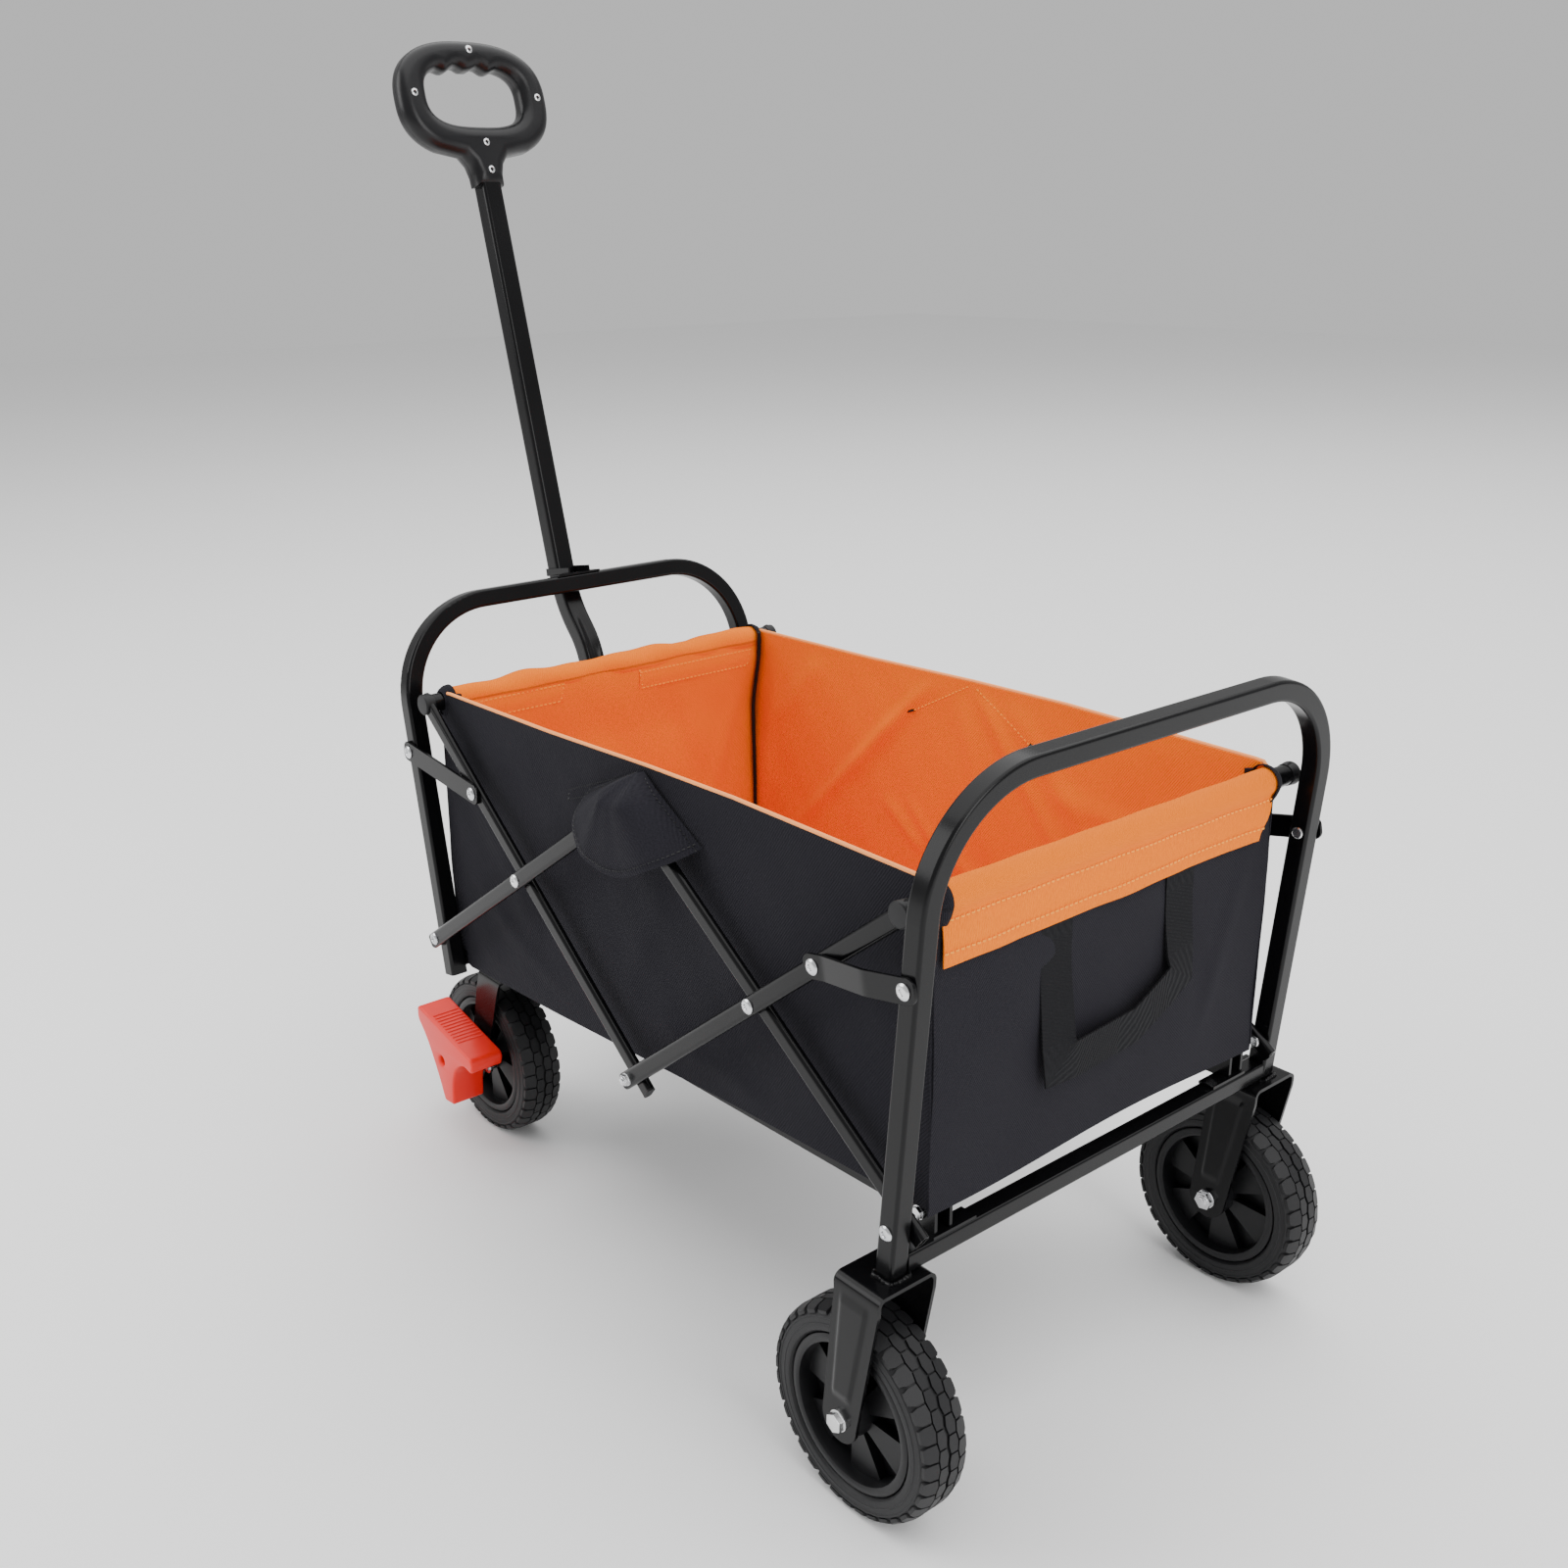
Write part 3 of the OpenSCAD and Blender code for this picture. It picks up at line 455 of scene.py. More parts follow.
def rim_shape():
    shape = Shape()
    inner = RIM_BORE_R
    shape.lathe(
        [(-20.5, inner + 1), (-21.4, inner + 2.4), (-21.4, 63.5), (-20.4, 65.2), (-18.4, RIM_R + 0.1),
         (18.4, RIM_R + 0.1), (20.4, 65.2), (21.4, 63.5), (21.4, inner + 2.4), (20.5, inner + 1),
         (17, inner), (-17, inner), (-20.5, inner + 1)], steps=72, ends=False)
    shape.weld(0.05)
    spokes = Shape()
    for k in range(SPOKES):
        turn = Matrix.Rotation(tau * k / SPOKES + 0.35, 3, "Y")
        wedge = [(14, -4), (inner + 1, -17), (inner + 1, 17), (14, 4)]

        def in_wheel(a, b, level, turn=turn):
            return turn @ Vector((a, level * (1.0 - 0.22 * (a - 14) / 44), b))

        spokes.prism(wedge, -13, 13, in_wheel)
    spokes.bevel(1.2, 2)
    spokes.lathe([(-2, 10), (-2, inner + 0.5), (2, inner + 0.5), (2, 10)], steps=72)
    hub = [(18, 18), (24, 16.5), (25.3, 14.5), (25.3, 10.5), (24, 9)]
    spokes.lathe([(-along, r) for along, r in reversed(hub)] + hub, steps=40)
    merge(shape, spokes)
    return shape


def merge(shape, other):
    mesh = bpy.data.meshes.new("temporary")
    other.mesh.to_mesh(mesh)
    shape.mesh.from_mesh(mesh)
    bpy.data.meshes.remove(mesh)


def make_wheels():
    for side in SIDES:
        for kind, body in (("rear", f"rear_wheel_{side}"), ("caster", f"caster_wheel_{side}")):
            origin = in_mm(box_centre(f"{kind}_rim_{side}"))
            tyre_shape().to_object(
                f"tyre_{kind}_{side}", "tyre", body, [f"{kind}_tyre_{side}"], origin=origin)
            rim_shape().to_object(
                f"wheel_{kind}_{side}", "wheel_plastic", body, [f"{kind}_rim_{side}"], origin=origin)


# ---------------------------------------------------------------- forks

def fork_shape(half_width, sheet, top, corner, axle, end_r, edges, emboss, crown_edges):
    """Inverted U of pressed sheet. edges is a table of (z, (front x, rear x)) above the axle."""
    axle_x, axle_z = axle
    mid = half_width - sheet / 2
    path = []
    for k in range(13):
        path.append((mid, axle_z - end_r * cos(radians(90 * k / 12)), 1.0, 0.0))
    straight = top - sheet / 2 - corner
    for k in range(1, 35):
        path.append((mid, lerp(axle_z, straight, k / 34), 1.0, 0.0))
    for k in range(1, 9):
        a = radians(90 * k / 8)
        path.append((mid - corner + corner * cos(a), straight + corner * sin(a), cos(a), sin(a)))
    for k in range(1, 9):
        path.append((lerp(mid - corner, 0, k / 8), top - sheet / 2, 0.0, 1.0))
    path += [(-y, z, -ny, nz) for y, z, ny, nz in reversed(path[:-1])]
    lanes = 26

    def edge_pair(z):
        if z < axle_z:
            chord = sqrt(max(end_r ** 2 - (axle_z - z) ** 2, 0.04))
            return axle_x - chord, axle_x + chord
        front = stations([(h, pair[0]) for h, pair in edges], z)
        rear = stations([(h, pair[1]) for h, pair in edges], z)
        return front, rear

    def surface(offset, pressed):
        def point(u, v):
            y, z, ny, nz = path[round(u * (len(path) - 1))]
            front, rear = edge_pair(z) if nz < 0.999 else crown_edges
            x = lerp(front, rear, v)
            shift = offset + (emboss(x, z) * (1 - nz) if pressed else 0.0)
            return (x, y + ny * shift, z + nz * shift)
        return point

    shape = Shape()
    rows = len(path) - 1
    outer = shape.grid(surface(sheet / 2, True), rows, lanes)
    inner = shape.grid(surface(-sheet / 2, False), rows, lanes)
    wide = lanes + 1
    for i in range(rows):
        for j in (0, lanes):
            a, b = i * wide + j, (i + 1) * wide + j
            shape.mesh.faces.new([outer[a], outer[b], inner[b], inner[a]])
    for i in (0, rows):
        for j in range(lanes):
            a, b = i * wide + j, i * wide + j + 1
            shape.mesh.faces.new([outer[a], outer[b], inner[b], inner[a]])
    shape.weld(0.05)
    bmesh.ops.recalc_face_normals(shape.mesh, faces=shape.mesh.faces)
    return shape


def panel_emboss(axle, top, half_low, half_high, height):
    """Raised panel that runs down a fork's side plate, with soft shoulders."""
    def lift(x, z):
        (low_x, low_z), (high_x, high_z) = axle, top
        t = (z - low_z) / (high_z - low_z)
        centre = lerp(low_x, high_x, t)
        half = lerp(half_low, half_high, min(max(t, 0), 1))
        across = half - abs(x - centre)
        along = min(z - low_z, high_z - z)
        return height * smoothstep(0, 2.6, across) * smoothstep(0, 2.6, along)
    return lift


def make_rear_forks():
    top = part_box("rear_fork_right")[1].z / MM
    mid_y, half = box_across("rear_fork_right")
    axle = centre_point("rear_rim_right")
    crown_edges = (309, 358)
    edges = [(axle[1], (axle[0] - 19, axle[0] + 19)), (top - 14, (309.5, 357.5)), (top, crown_edges)]
    emboss = panel_emboss((axle[0] + 2, axle[1] + 22), (332, top - 14), 10.5, 15.5, 1.5)
    for side, sign in SIDES.items():
        shape = fork_shape(half, 3.2, top, 6, axle, 19, edges, emboss, crown_edges)
        add_weld_bead(shape, 340, top)
        shape.to_object(f"fork_rear_{side}", "black_paint", "rear_frame", [f"rear_fork_{side}"],
                        origin=(0, sign * mid_y, 0), sharp=50)


def add_weld_bead(shape, centre_x, level):
    """Uneven bead of weld round the foot of the square leg."""
    half = 10.2
    path = []
    frames = []
    corners = rounded_square(2 * half, 3, 6)
    count = 72
    lengths = [0.0]
    ring = corners + [corners[0]]
    for a, b in zip(ring, ring[1:]):
        lengths.append(lengths[-1] + hypot(b[0] - a[0], b[1] - a[1]))
    for k in range(count + 1):
        target = lengths[-1] * (k % count) / count
        i = max(n for n, length in enumerate(lengths) if length <= target and n < len(corners))
        t = (target - lengths[i]) / max(lengths[i + 1] - lengths[i], 1e-6)
        x = lerp(ring[i][0], ring[i + 1][0], t)
        y = lerp(ring[i][1], ring[i + 1][1], t)
        out = Vector((x, y, 0)).normalized()
        ripple = 1 + 0.22 * sin(k * 2.9) + 0.12 * sin(k * 1.3)
        path.append(Vector((centre_x + x, y, level)))
        frames.append((out * ripple, Vector((0, 0, ripple))))
    section = arc((0, 0), 2.3, 0, 315, 7)
    shape.sweep(section, path, frames, cap=False)


def make_caster_forks():
    mid_y, half = box_across("caster_fork_right")
    axle = centre_point("caster_rim_right")
    swivel_x = axle[0] + 38
    top = 200.5
    crown_edges = (swivel_x - 26, swivel_x + 22)
    edges = [
        (axle[1], (axle[0] - 16, axle[0] + 16)), (150, (swivel_x - 38, swivel_x)),
        (178, (swivel_x - 31, swivel_x + 9)), (top - 8, (swivel_x - 26, swivel_x + 15)), (top, crown_edges)]
    cup_profile = [(200, 25.5), (202, 26), (204.5, 25.5), (206, 22), (213, 21.5), (215.2, 20), (215.2, 8)]
    for side, sign in SIDES.items():
        body = f"caster_{side}"
        shape = fork_shape(half, 3, top, 6, axle, 16, edges, lambda x, z: 0.0, crown_edges)
        shape.to_object(f"fork_caster_{side}", "black_paint", body, [f"caster_fork_{side}"],
                        origin=(0, sign * mid_y, 0), sharp=50)
        cup = Shape()
        cup.lathe(cup_profile, steps=48)
        cup.move(lambda p: Vector((p.x, p.z, p.y)))
        cup.to_object(f"swivel_cup_{side}", "black_paint", body, origin=(swivel_x, sign * mid_y, 0))


# ---------------------------------------------------------------- points of the mechanism

JOINTS = {joint["name"]: joint for joint in frame["joints"]}


def joint_point(name):
    """A joint's place as (x, z) in millimetres from the fold centre."""
    x, _, z = in_mm(JOINTS[name]["pos_m"])
    return (x, z)


REAR_PIVOT = joint_point("fold")
FRONT_PIVOT = joint_point("front_pivot")
TOP = joint_point("top_centre")
REAR_CROSSING = joint_point("rear_crossing")
FRONT_CROSSING = joint_point("front_crossing")
REAR_ROD = centre_point("rear_hem_rod")
FRONT_ROD = centre_point("front_hem_rod")
LINK_ON_LIFT = 103.2
CASTER_AXLE_Z = 112
CASTER_MIDDLE_Y = 143


def link_point(crossing, rod):
    run = hypot(rod[0] - crossing[0], rod[1] - crossing[1])
    return tuple(lerp(a, b, LINK_ON_LIFT / run) for a, b in zip(crossing, rod))


# Layers across the wagon
INNER_LAYER = 214
OUTER_LAYER = 231
FRONT_LEG_IN, FRONT_LEG_OUT = 204, 222
REAR_LEG_IN, REAR_LEG_OUT = 223, 241
SHEET_STEEL = 3


# ---------------------------------------------------------------- fasteners

def add_rivet(shape, point, inside, outside, head=6.5):
    """Semi-tubular rivet: domed outer head with a pressed middle, small inner head."""
    shape.lathe([
        (inside - 1.5, 2.4), (inside - 1.5, 4.2), (inside - 0.8, 5.2), (inside, 5.3), (inside, 3),
        (outside, 3), (outside, head), (outside + 0.9, head), (outside + 1.9, head - 1.1),
        (outside + 2.4, head - 2.6), (outside + 2.4, 2.9), (outside + 1.2, 2.3), (outside + 1.1, 0.1),
    ], centre=(point[0], 0, point[1]), steps=28)


def add_hex(shape, point, low, high, across, turn=0.2):
    """Hexagon head or nut between two distances from the middle plane, with its corners eased."""
    radius = across / sqrt(3)
    ring = [(radius * cos(turn + tau * k / 6), radius * sin(turn + tau * k / 6)) for k in range(6)]
    hexagon = Shape()
    hexagon.prism(ring, low, high, lambda a, b, level: (point[0] + a, level, point[1] + b))
    hexagon.bevel(0.5, 2)
    merge(shape, hexagon)


def add_bolt(shape, point, inside, outside, radius, across, nut_outside=False):
    """Bolt through two distances: head on one side, lock nut with its collar and thread on the other."""
    centre = (point[0], 0, point[1])
    washer = across * 0.62
    shape.lathe([
        (inside - 1.2, washer), (inside, washer), (inside, radius), (outside, radius),
        (outside, washer), (outside + 1.2, washer)], centre=centre, steps=32)
    direction = 1 if nut_outside else -1
    nut_face = outside + 1.2 if nut_outside else inside - 1.2
    nut_top = nut_face + direction * radius * 1.1
    add_hex(shape, point, min(nut_face, nut_top), max(nut_face, nut_top), across)
    head_face = inside - 1.2 if nut_outside else outside + 1.2
    head_top = head_face - direction * radius * 1.05
    add_hex(shape, point, min(head_face, head_top), max(head_face, head_top), across, 0.5)
    collar = [
        (0, across * 0.44), (1.0, across * 0.42), (1.4, across * 0.36), (1.4, radius), (2.2, radius),
        (2.6, radius - 0.6)]
    shape.lathe([(nut_top + direction * a, r) for a, r in collar], centre=centre, steps=24)


def link_plate(leg, lift, leg_face, lift_face):
    """Flat link with rounded ends; past the leg it slants in to the lift tube's face."""
    ahead = Vector((lift[0] - leg[0], lift[1] - leg[1]))
    length = ahead.length
    ahead.normalize()
    half = 10
    radius = 7
    ring = [(-1, 0.3), (-0.97, 0), (0.97, 0), (1, 0.3), (1, 2.7), (0.97, 3), (-0.97, 3), (-1, 2.7)]
    rows = 60

    def point(u, v):
        # Stations are closer together at both ends, where the corners are round
        a = lerp(-half, length + half, 0.5 - 0.5 * cos(pi * u))
        inset = radius - min(a + half, length + half - a, radius)
        width = half - radius + sqrt(radius ** 2 - inset ** 2)
        across, level = ring[round(v * len(ring)) % len(ring)]
        b = across * width
        y = lerp(leg_face, lift_face, min(max((a - 42) / (length - 54), 0), 1)) + level
        return (leg[0] + ahead.x * a - ahead.y * b, y, leg[1] + ahead.y * a + ahead.x * b)

    shape = Shape()
    made = shape.grid(point, rows, len(ring), ring=True)
    shape.mesh.faces.new(made[:len(ring)])
    shape.mesh.faces.new(made[-len(ring):])
    return shape


def pair_to_object(shape, name, slot, body, replaces=()):
    """Adds the same geometry on the wagon's other side, and makes both one piece."""
    shape.mirror_y()
    return shape.to_object(name, slot, body, replaces)


def make_scissor_pins():
    rear = Shape()
    for point in (REAR_CROSSING, TOP):
        add_rivet(rear, point, INNER_LAYER, OUTER_LAYER)
    pair_to_object(rear, "rivets_rear_cross", "zinc", "rear_cross", ["rear_cross_rivets"])

    front = Shape()
    add_rivet(front, FRONT_CROSSING, INNER_LAYER, OUTER_LAYER)
    pair_to_object(front, "rivets_front_cross", "zinc", "front_lift", ["front_cross_rivets"])

    centre = Shape()
    point = (0, centre_point("centre_bolts")[1])
    add_bolt(centre, point, INNER_LAYER - 0.5, OUTER_LAYER, 3, 9.5, nut_outside=True)
    pair_to_object(centre, "bolts_centre", "zinc", "rear_lift", ["centre_bolts"])


def make_frame_pins():
    rear = Shape()
    add_rivet(rear, REAR_PIVOT, INNER_LAYER, REAR_LEG_OUT)
    add_rivet(rear, joint_point("rear_link_pivot"), REAR_LEG_IN, REAR_LEG_OUT + SHEET_STEEL + 0.7)
    add_bolt(rear, joint_point("rear_rail_pivot"), 174, 194, 3, 9.5)
    pair_to_object(rear, "pins_rear_frame", "zinc", "rear_frame", ["rear_frame_pins"])

    front = Shape()
    add_rivet(front, FRONT_PIVOT, FRONT_LEG_IN + 0.2, OUTER_LAYER)
    add_rivet(front, joint_point("front_link_pivot"), FRONT_LEG_IN + 0.2, FRONT_LEG_OUT + SHEET_STEEL + 0.7)
    add_bolt(front, joint_point("front_rail_pivot"), 160.5, 180.5, 3, 9.5)
    front.mirror_y()
    add_bolt(front, joint_point("handle_pivot"), -15, 15, 4, 11)
    front.to_object("pins_front_frame", "zinc", "front_frame", ["front_frame_pins"])

    axles = Shape()
    add_bolt(axles, centre_point("rear_rim_right"), 202, 262, 5, 14.5)
    pair_to_object(axles, "axles_rear", "zinc", "rear_frame", ["rear_axle_bolts"])


def make_links():
    front_face = FRONT_LEG_OUT + 0.5
    for name, crossing, rod, leg_face, lift_face in (
            ("rear", REAR_CROSSING, REAR_ROD, REAR_LEG_OUT + 0.5, OUTER_LAYER + 0.5),
            ("front", FRONT_CROSSING, FRONT_ROD, front_face, front_face)):
        leg = joint_point(f"{name}_link_pivot")
        lift = link_point(crossing, rod)
        body = f"{name}_link_pair"
        plates = link_plate(leg, lift, leg_face, lift_face)
        pair_to_object(plates, f"links_{name}", "black_paint", body, [f"{name}_links"])
        heads = Shape()
        add_rivet(heads, lift, lift_face + SHEET_STEEL - 1, lift_face + SHEET_STEEL)
        pair_to_object(heads, f"rivets_{name}_links", "zinc", body)


def make_rod_plugs():
    for name, point, face, low in (
            ("rear", REAR_ROD, OUTER_LAYER, 223), ("front", FRONT_ROD, FRONT_LEG_OUT, 214)):
        plugs = Shape()
        profile = [(low, 9.6), (face + 0.4, 10.4), (face + 1.8, 10.2), (face + 2.6, 9.2), (face + 2.8, 4)]
        plugs.lathe(profile, centre=(point[0], 0, point[1]), steps=40)
        pair_to_object(plugs, f"rod_plugs_{name}", "cap_plastic", f"{name}_lift")


def make_caster_axles():
    middle = CASTER_MIDDLE_Y
    for side, sign in SIDES.items():
        bolts = Shape()
        wheel = centre_point(f"caster_rim_{side}")
        add_bolt(bolts, wheel, middle - 29, middle + 29, 5, 14)
        bolts.lathe([(middle + 26, 3), (middle + 67, 3)], centre=(wheel[0], 0, CASTER_AXLE_Z), steps=20)
        bolts.to_side(sign)
        bolts.to_object(f"axle_caster_{side}", "zinc", f"caster_{side}", [f"caster_axle_{side}"])


# ---------------------------------------------------------------- rounded plates

def rounded_plate(outlines, thickness, edge, steps=5):
    """Solid from closed outlines, the first outside and the others holes, with round edges all over."""
    data = bpy.data.curves.new("outline", "CURVE")
    data.dimensions = "2D"
    data.fill_mode = "BOTH"
    data.extrude = thickness / 2 - edge
    data.bevel_depth = edge
    data.bevel_resolution = steps
    data.offset = -edge
    for outline in outlines:
        spline = data.splines.new("POLY")
        spline.points.add(len(outline) - 1)
        for point, (a, b) in zip(spline.points, outline):
            point.co = (a, b, 0, 1)
        spline.use_cyclic_u = True
    curve = bpy.data.objects.new("outline", data)
    bpy.context.scene.collection.objects.link(curve)
    bpy.context.view_layer.update()
    mesh = bpy.data.meshes.new_from_object(curve.evaluated_get(bpy.context.evaluated_depsgraph_get()))
    shape = Shape()
    shape.mesh.from_mesh(mesh)
    shape.weld(0.005)
    bpy.data.meshes.remove(mesh)
    bpy.data.objects.remove(curve)
    bpy.data.curves.remove(data)
    return shape


def round_corners(points, radius, steps=5):
    """Rounds each corner of an outline; radius is one number or one per corner."""
    count = len(points)
    radii = radius if hasattr(radius, "__len__") else [radius] * count
    out = []
    for i in range(count):
        corner = Vector(points[i])
        before = Vector(points[i - 1]) - corner
        after = Vector(points[(i + 1) % count]) - corner
        reach = min(radii[i], before.length * 0.49, after.length * 0.49)
        start = corner + before.normalized() * reach
        end = corner + after.normalized() * reach
        for k in range(steps + 1):
            t = k / steps
            out.append(tuple(start.lerp(corner, t).lerp(corner.lerp(end, t), t)))
    return out


# ---------------------------------------------------------------- brake pedals

def make_pedals():
    wheel = centre_point("caster_rim_right")
    mid_y, half = box_across("brake_pedal_right")
    # Tread plate along the top, arch below its rear half, leg in front of the tyre
    corners = [
        (-51, 33), (-46, 36), (62, 12), (64, 5), (61, -5), (44, -1), (27, -12), (19, -32), (17, -60),
        (-2, -62), (-14, -34), (-34, 2), (-51, 20)]
    radii = [2, 5, 4, 3, 4, 12, 14, 14, 3, 4, 30, 20, 5]
    outline = [(wheel[0] + a, CASTER_AXLE_Z + b) for a, b in round_corners(corners, radii, 6)]
    hinge = (wheel[0] - 3, 98)
    recess = arc(hinge, 5.5, 0, 345, 23)
    slope = (12 - 36) / (62 + 46)

    def by_wheel(a, b, level):
        return (wheel[0] + a, level, CASTER_AXLE_Z + b)

    for side, sign in SIDES.items():
        shape = rounded_plate([outline, recess], 2 * half, 2.6)
        shape.move(lambda p: Vector((p.x, mid_y + p.z, p.y)))
        ribs = Shape()
        for k in range(11):
            x = -22 + 5.2 * k
            z = 36 + slope * (x + 46)
            bar = [(x - 1.1, z - 1), (x + 1.1, z - 1), (x + 0.8, z + 1.0), (x - 0.8, z + 1.0)]
            ribs.prism(bar, mid_y - half + 4, mid_y + half - 4, by_wheel)
        ribs.bevel(0.5, 2)
        merge(shape, ribs)
        shape.to_side(sign)
        shape.to_object(f"pedal_{side}", "pedal_plastic", f"pedal_{side}", [f"brake_pedal_{side}"], sharp=40)
        metal = Shape()
        metal.lathe([(173, 2.4), (mid_y + 10, 2.4), (mid_y + 10, 4.6), (mid_y + 12, 4.4), (mid_y + 12.6, 2)],
                    centre=(hinge[0], 0, hinge[1]), steps=20)
        arm = [(4, -34), (30, -30), (34, -22), (26, -14), (8, -20)]
        metal.prism(round_corners(arm, 3), 173.5, 176.5, by_wheel)
        metal.lathe([(166, 2.6), (179, 2.6)], centre=(wheel[0] + 28, 0, 88), steps=16)
        metal.to_side(sign)
        metal.to_object(f"pedal_metal_{side}", "zinc", f"pedal_{side}")


# ---------------------------------------------------------------- handle

POLE_W = 22
POLE_LEAN = 15
KNEE = (-375, 519)
SHOULDER = (-420, 568)
GRIP_RISE = 442
GRIP_W = 174
GRIP_H = 119
GRIP_T = 30
GRIP_MID = 88.5
SLOT_W = 113
SLOT_H = 61
# Screws across and up the grip, from the middle of its foot
GRIP_SCREWS = [(0, 137), (-73, 91), (73, 91), (0, 43), (0, 15)]


def rounded_path(points, cut, steps=10):
    """Path of straight runs joined by smooth bends that start and end cut before each corner."""
    path = [Vector(points[0])]
    for before, corner, after in zip(points, points[1:], points[2:]):
        corner = Vector(corner)
        start = corner + (Vector(before) - corner).normalized() * cut
        end = corner + (Vector(after) - corner).normalized() * cut
        for k in range(steps + 1):
            t = k / steps
            path.append(start.lerp(corner, t).lerp(corner.lerp(end, t), t))
    path.append(Vector(points[-1]))
    return path


def dense_square(size, radius, per_side=6):
    """Rounded square outline with points along its flat sides."""
    ring = rounded_square(size, radius, 4)
    out = []
    for k, point in enumerate(ring):
        after = ring[(k + 1) % len(ring)]
        out.append(point)
        if hypot(after[0] - point[0], after[1] - point[1]) > radius * 1.2:
            out += [(lerp(point[0], after[0], n / per_side), lerp(point[1], after[1], n / per_side))
                    for n in range(1, per_side)]
    return out


def make_pole():
    lean = Vector((-sin(radians(POLE_LEAN)), cos(radians(POLE_LEAN))))
    pivot = joint_point("handle_pivot")
    end = Vector(SHOULDER) + lean * (GRIP_RISE + 20)
    coarse = rounded_path([(pivot[0], pivot[1] - 7), KNEE, SHOULDER, tuple(end)], 30)
    path2d = []
    for a, b in zip(coarse, coarse[1:]):
        pieces = max(1, int((b - a).length / 6))
        path2d += [a.lerp(b, k / pieces) for k in range(pieces)]
    path2d.append(coarse[-1])
    section = dense_square(POLE_W, 3.2)
    shape = Shape()
    path = []
    frames = []
    for i, p in enumerate(path2d):
        tangent = (path2d[min(i + 1, len(path2d) - 1)] - path2d[max(i - 1, 0)]).normalized()
        path.append(Vector((p.x, 0, p.y)))
        frames.append((Vector((0, 1, 0)), Vector((tangent.y, 0, -tangent.x))))
    shape.sweep(section, path, frames)
    # Dimple pressed into the rear face of the lower bend
    dimple = Vector((-383, 0, 532))

    def press(p):
        along = hypot(p.x - dimple.x, p.z - dimple.z)
        if p.x < pole_middle(p.z, path2d) + 6:
            return p
        depth = 3.4 * exp(-((along / 24) ** 4)) * exp(-((p.y / 5.2) ** 4))
        return Vector((p.x - depth * 0.75, p.y, p.z - depth * 0.6))

    shape.move(press)
    shape.to_object("pole", "black_paint", "handle", ["handle_pole"], sharp=40)


def pole_middle(z, path2d):
    nearest = min(path2d, key=lambda p: abs(p.y - z))
    return nearest.x


def squircle(half_w, half_h, power, angle):
    """Point on a rounded rectangle without straight edges."""
    return (
        half_w * copysign(abs(cos(angle)) ** (2 / power), cos(angle)),
        half_h * copysign(abs(sin(angle)) ** (2 / power), sin(angle)))


def grip_outlines():
    """Outline of the grip with its neck, and its hole with three finger ridges on the upper side."""
    outer = []
    for k in range(73):
        a, b = squircle(GRIP_W / 2, GRIP_H / 2, 2.55, radians(lerp(-58, 238, k / 72)))
        outer.append((a, GRIP_MID + b))
    neck = [(16.5, 0), (17, 11), (20, 22), (27, 31)]
    outer += [(-a, b) for a, b in reversed(neck)] + neck
    slot = []
    for k in range(120):
        a, b = squircle(SLOT_W / 2, SLOT_H / 2, 3.0, tau * k / 120)
        ridge_height = 5.0 * (0.5 - 0.5 * cos(tau * (a + 33.5) / 25)) if -33.5 < a < 41.5 else 0.0
        slot.append((a, GRIP_MID + 3 + b - ridge_height * smoothstep(0.3, 0.8, 2 * b / SLOT_H)))
    return outer, slot


def make_grip():
    outer, slot = grip_outlines()
    for name, node, side in (("grip_half_rear", "grip_rear", 1), ("grip_half_front", "grip_front", -1)):
        shape = rounded_plate([outer, slot], GRIP_T, 12, 9)
        bmesh.ops.bisect_plane(
            shape.mesh, geom=shape.parts(),
            plane_co=(0, 0, 0.15 * side), plane_no=(0, 0, -side), clear_outer=True)
        shape.move(in_grip)
        shape.to_object(name, "grip_plastic", "handle", [node], sharp=45)
    screws = Shape()
    top = GRIP_T / 2 - 0.4
    profile = [(top + a, r) for a, r in (
        (-6, 1.5), (-1.2, 2.0), (-1.2, 3.9), (-0.3, 4.3), (0.5, 3.6), (0.9, 2.2), (0.2, 1.7), (-0.6, 0.1))]
    for a, b in GRIP_SCREWS:
        screws.lathe(profile, centre=(a, 0, b), steps=20)
    screws.move(lambda p: in_grip(Vector((p.x, p.z, p.y))))
    screws.to_object("screws_grip", "zinc", "handle", ["grip_screws"])


def in_grip(p):
    """From the grip's own plane (across, up, forward) to the wagon."""
    lean = radians(POLE_LEAN)
    up = GRIP_RISE + p.y
    return Vector((
        SHOULDER[0] - up * sin(lean) + p.z * cos(lean),
        -p.x,
        SHOULDER[1] + up * cos(lean) + p.z * sin(lean)))


# ---------------------------------------------------------------- basket

SIDE_OUT = 201.6
SIDE_IN = 199.4
END_OUT = 346.8
END_IN = 344.4
CLOTH = 1.1
HEM_HALF = 195
WALL_SEEDS = {-1: 0.6, 1: 1.9}
FLAP_APEX = (2, 524)
# Seams that hold the flap, seen inside the basket: start and end as x, z
FLAP_SEAMS = [((-4, 521), (-76, 482)), ((8, 521), (83, 481))]


def floor_line(x):
    """Height of the folding rails' axis under the basket."""
    rear = joint_point("rear_rail_pivot")
    front = joint_point("front_rail_pivot")
    return lerp(front[1], rear[1], (x - front[0]) / (rear[0] - front[0]))


def skirt_z(x):
    """Lower edge of the side walls: it hangs a little below the floor towards the front."""
    return stations([(-347, 243), (-326, 226), (-165, 234), (118, 253), (225, 258), (347, 264)], x)


def rim_height(x):
    """Upper edge of the side walls, nearly straight, with its corners eased over the rods."""
    corner = smoothstep(334, 347, abs(x))
    return stations([(-347, 519), (-150, 522), (0, 527), (120, 529), (347, 526)], x) - 9 * corner


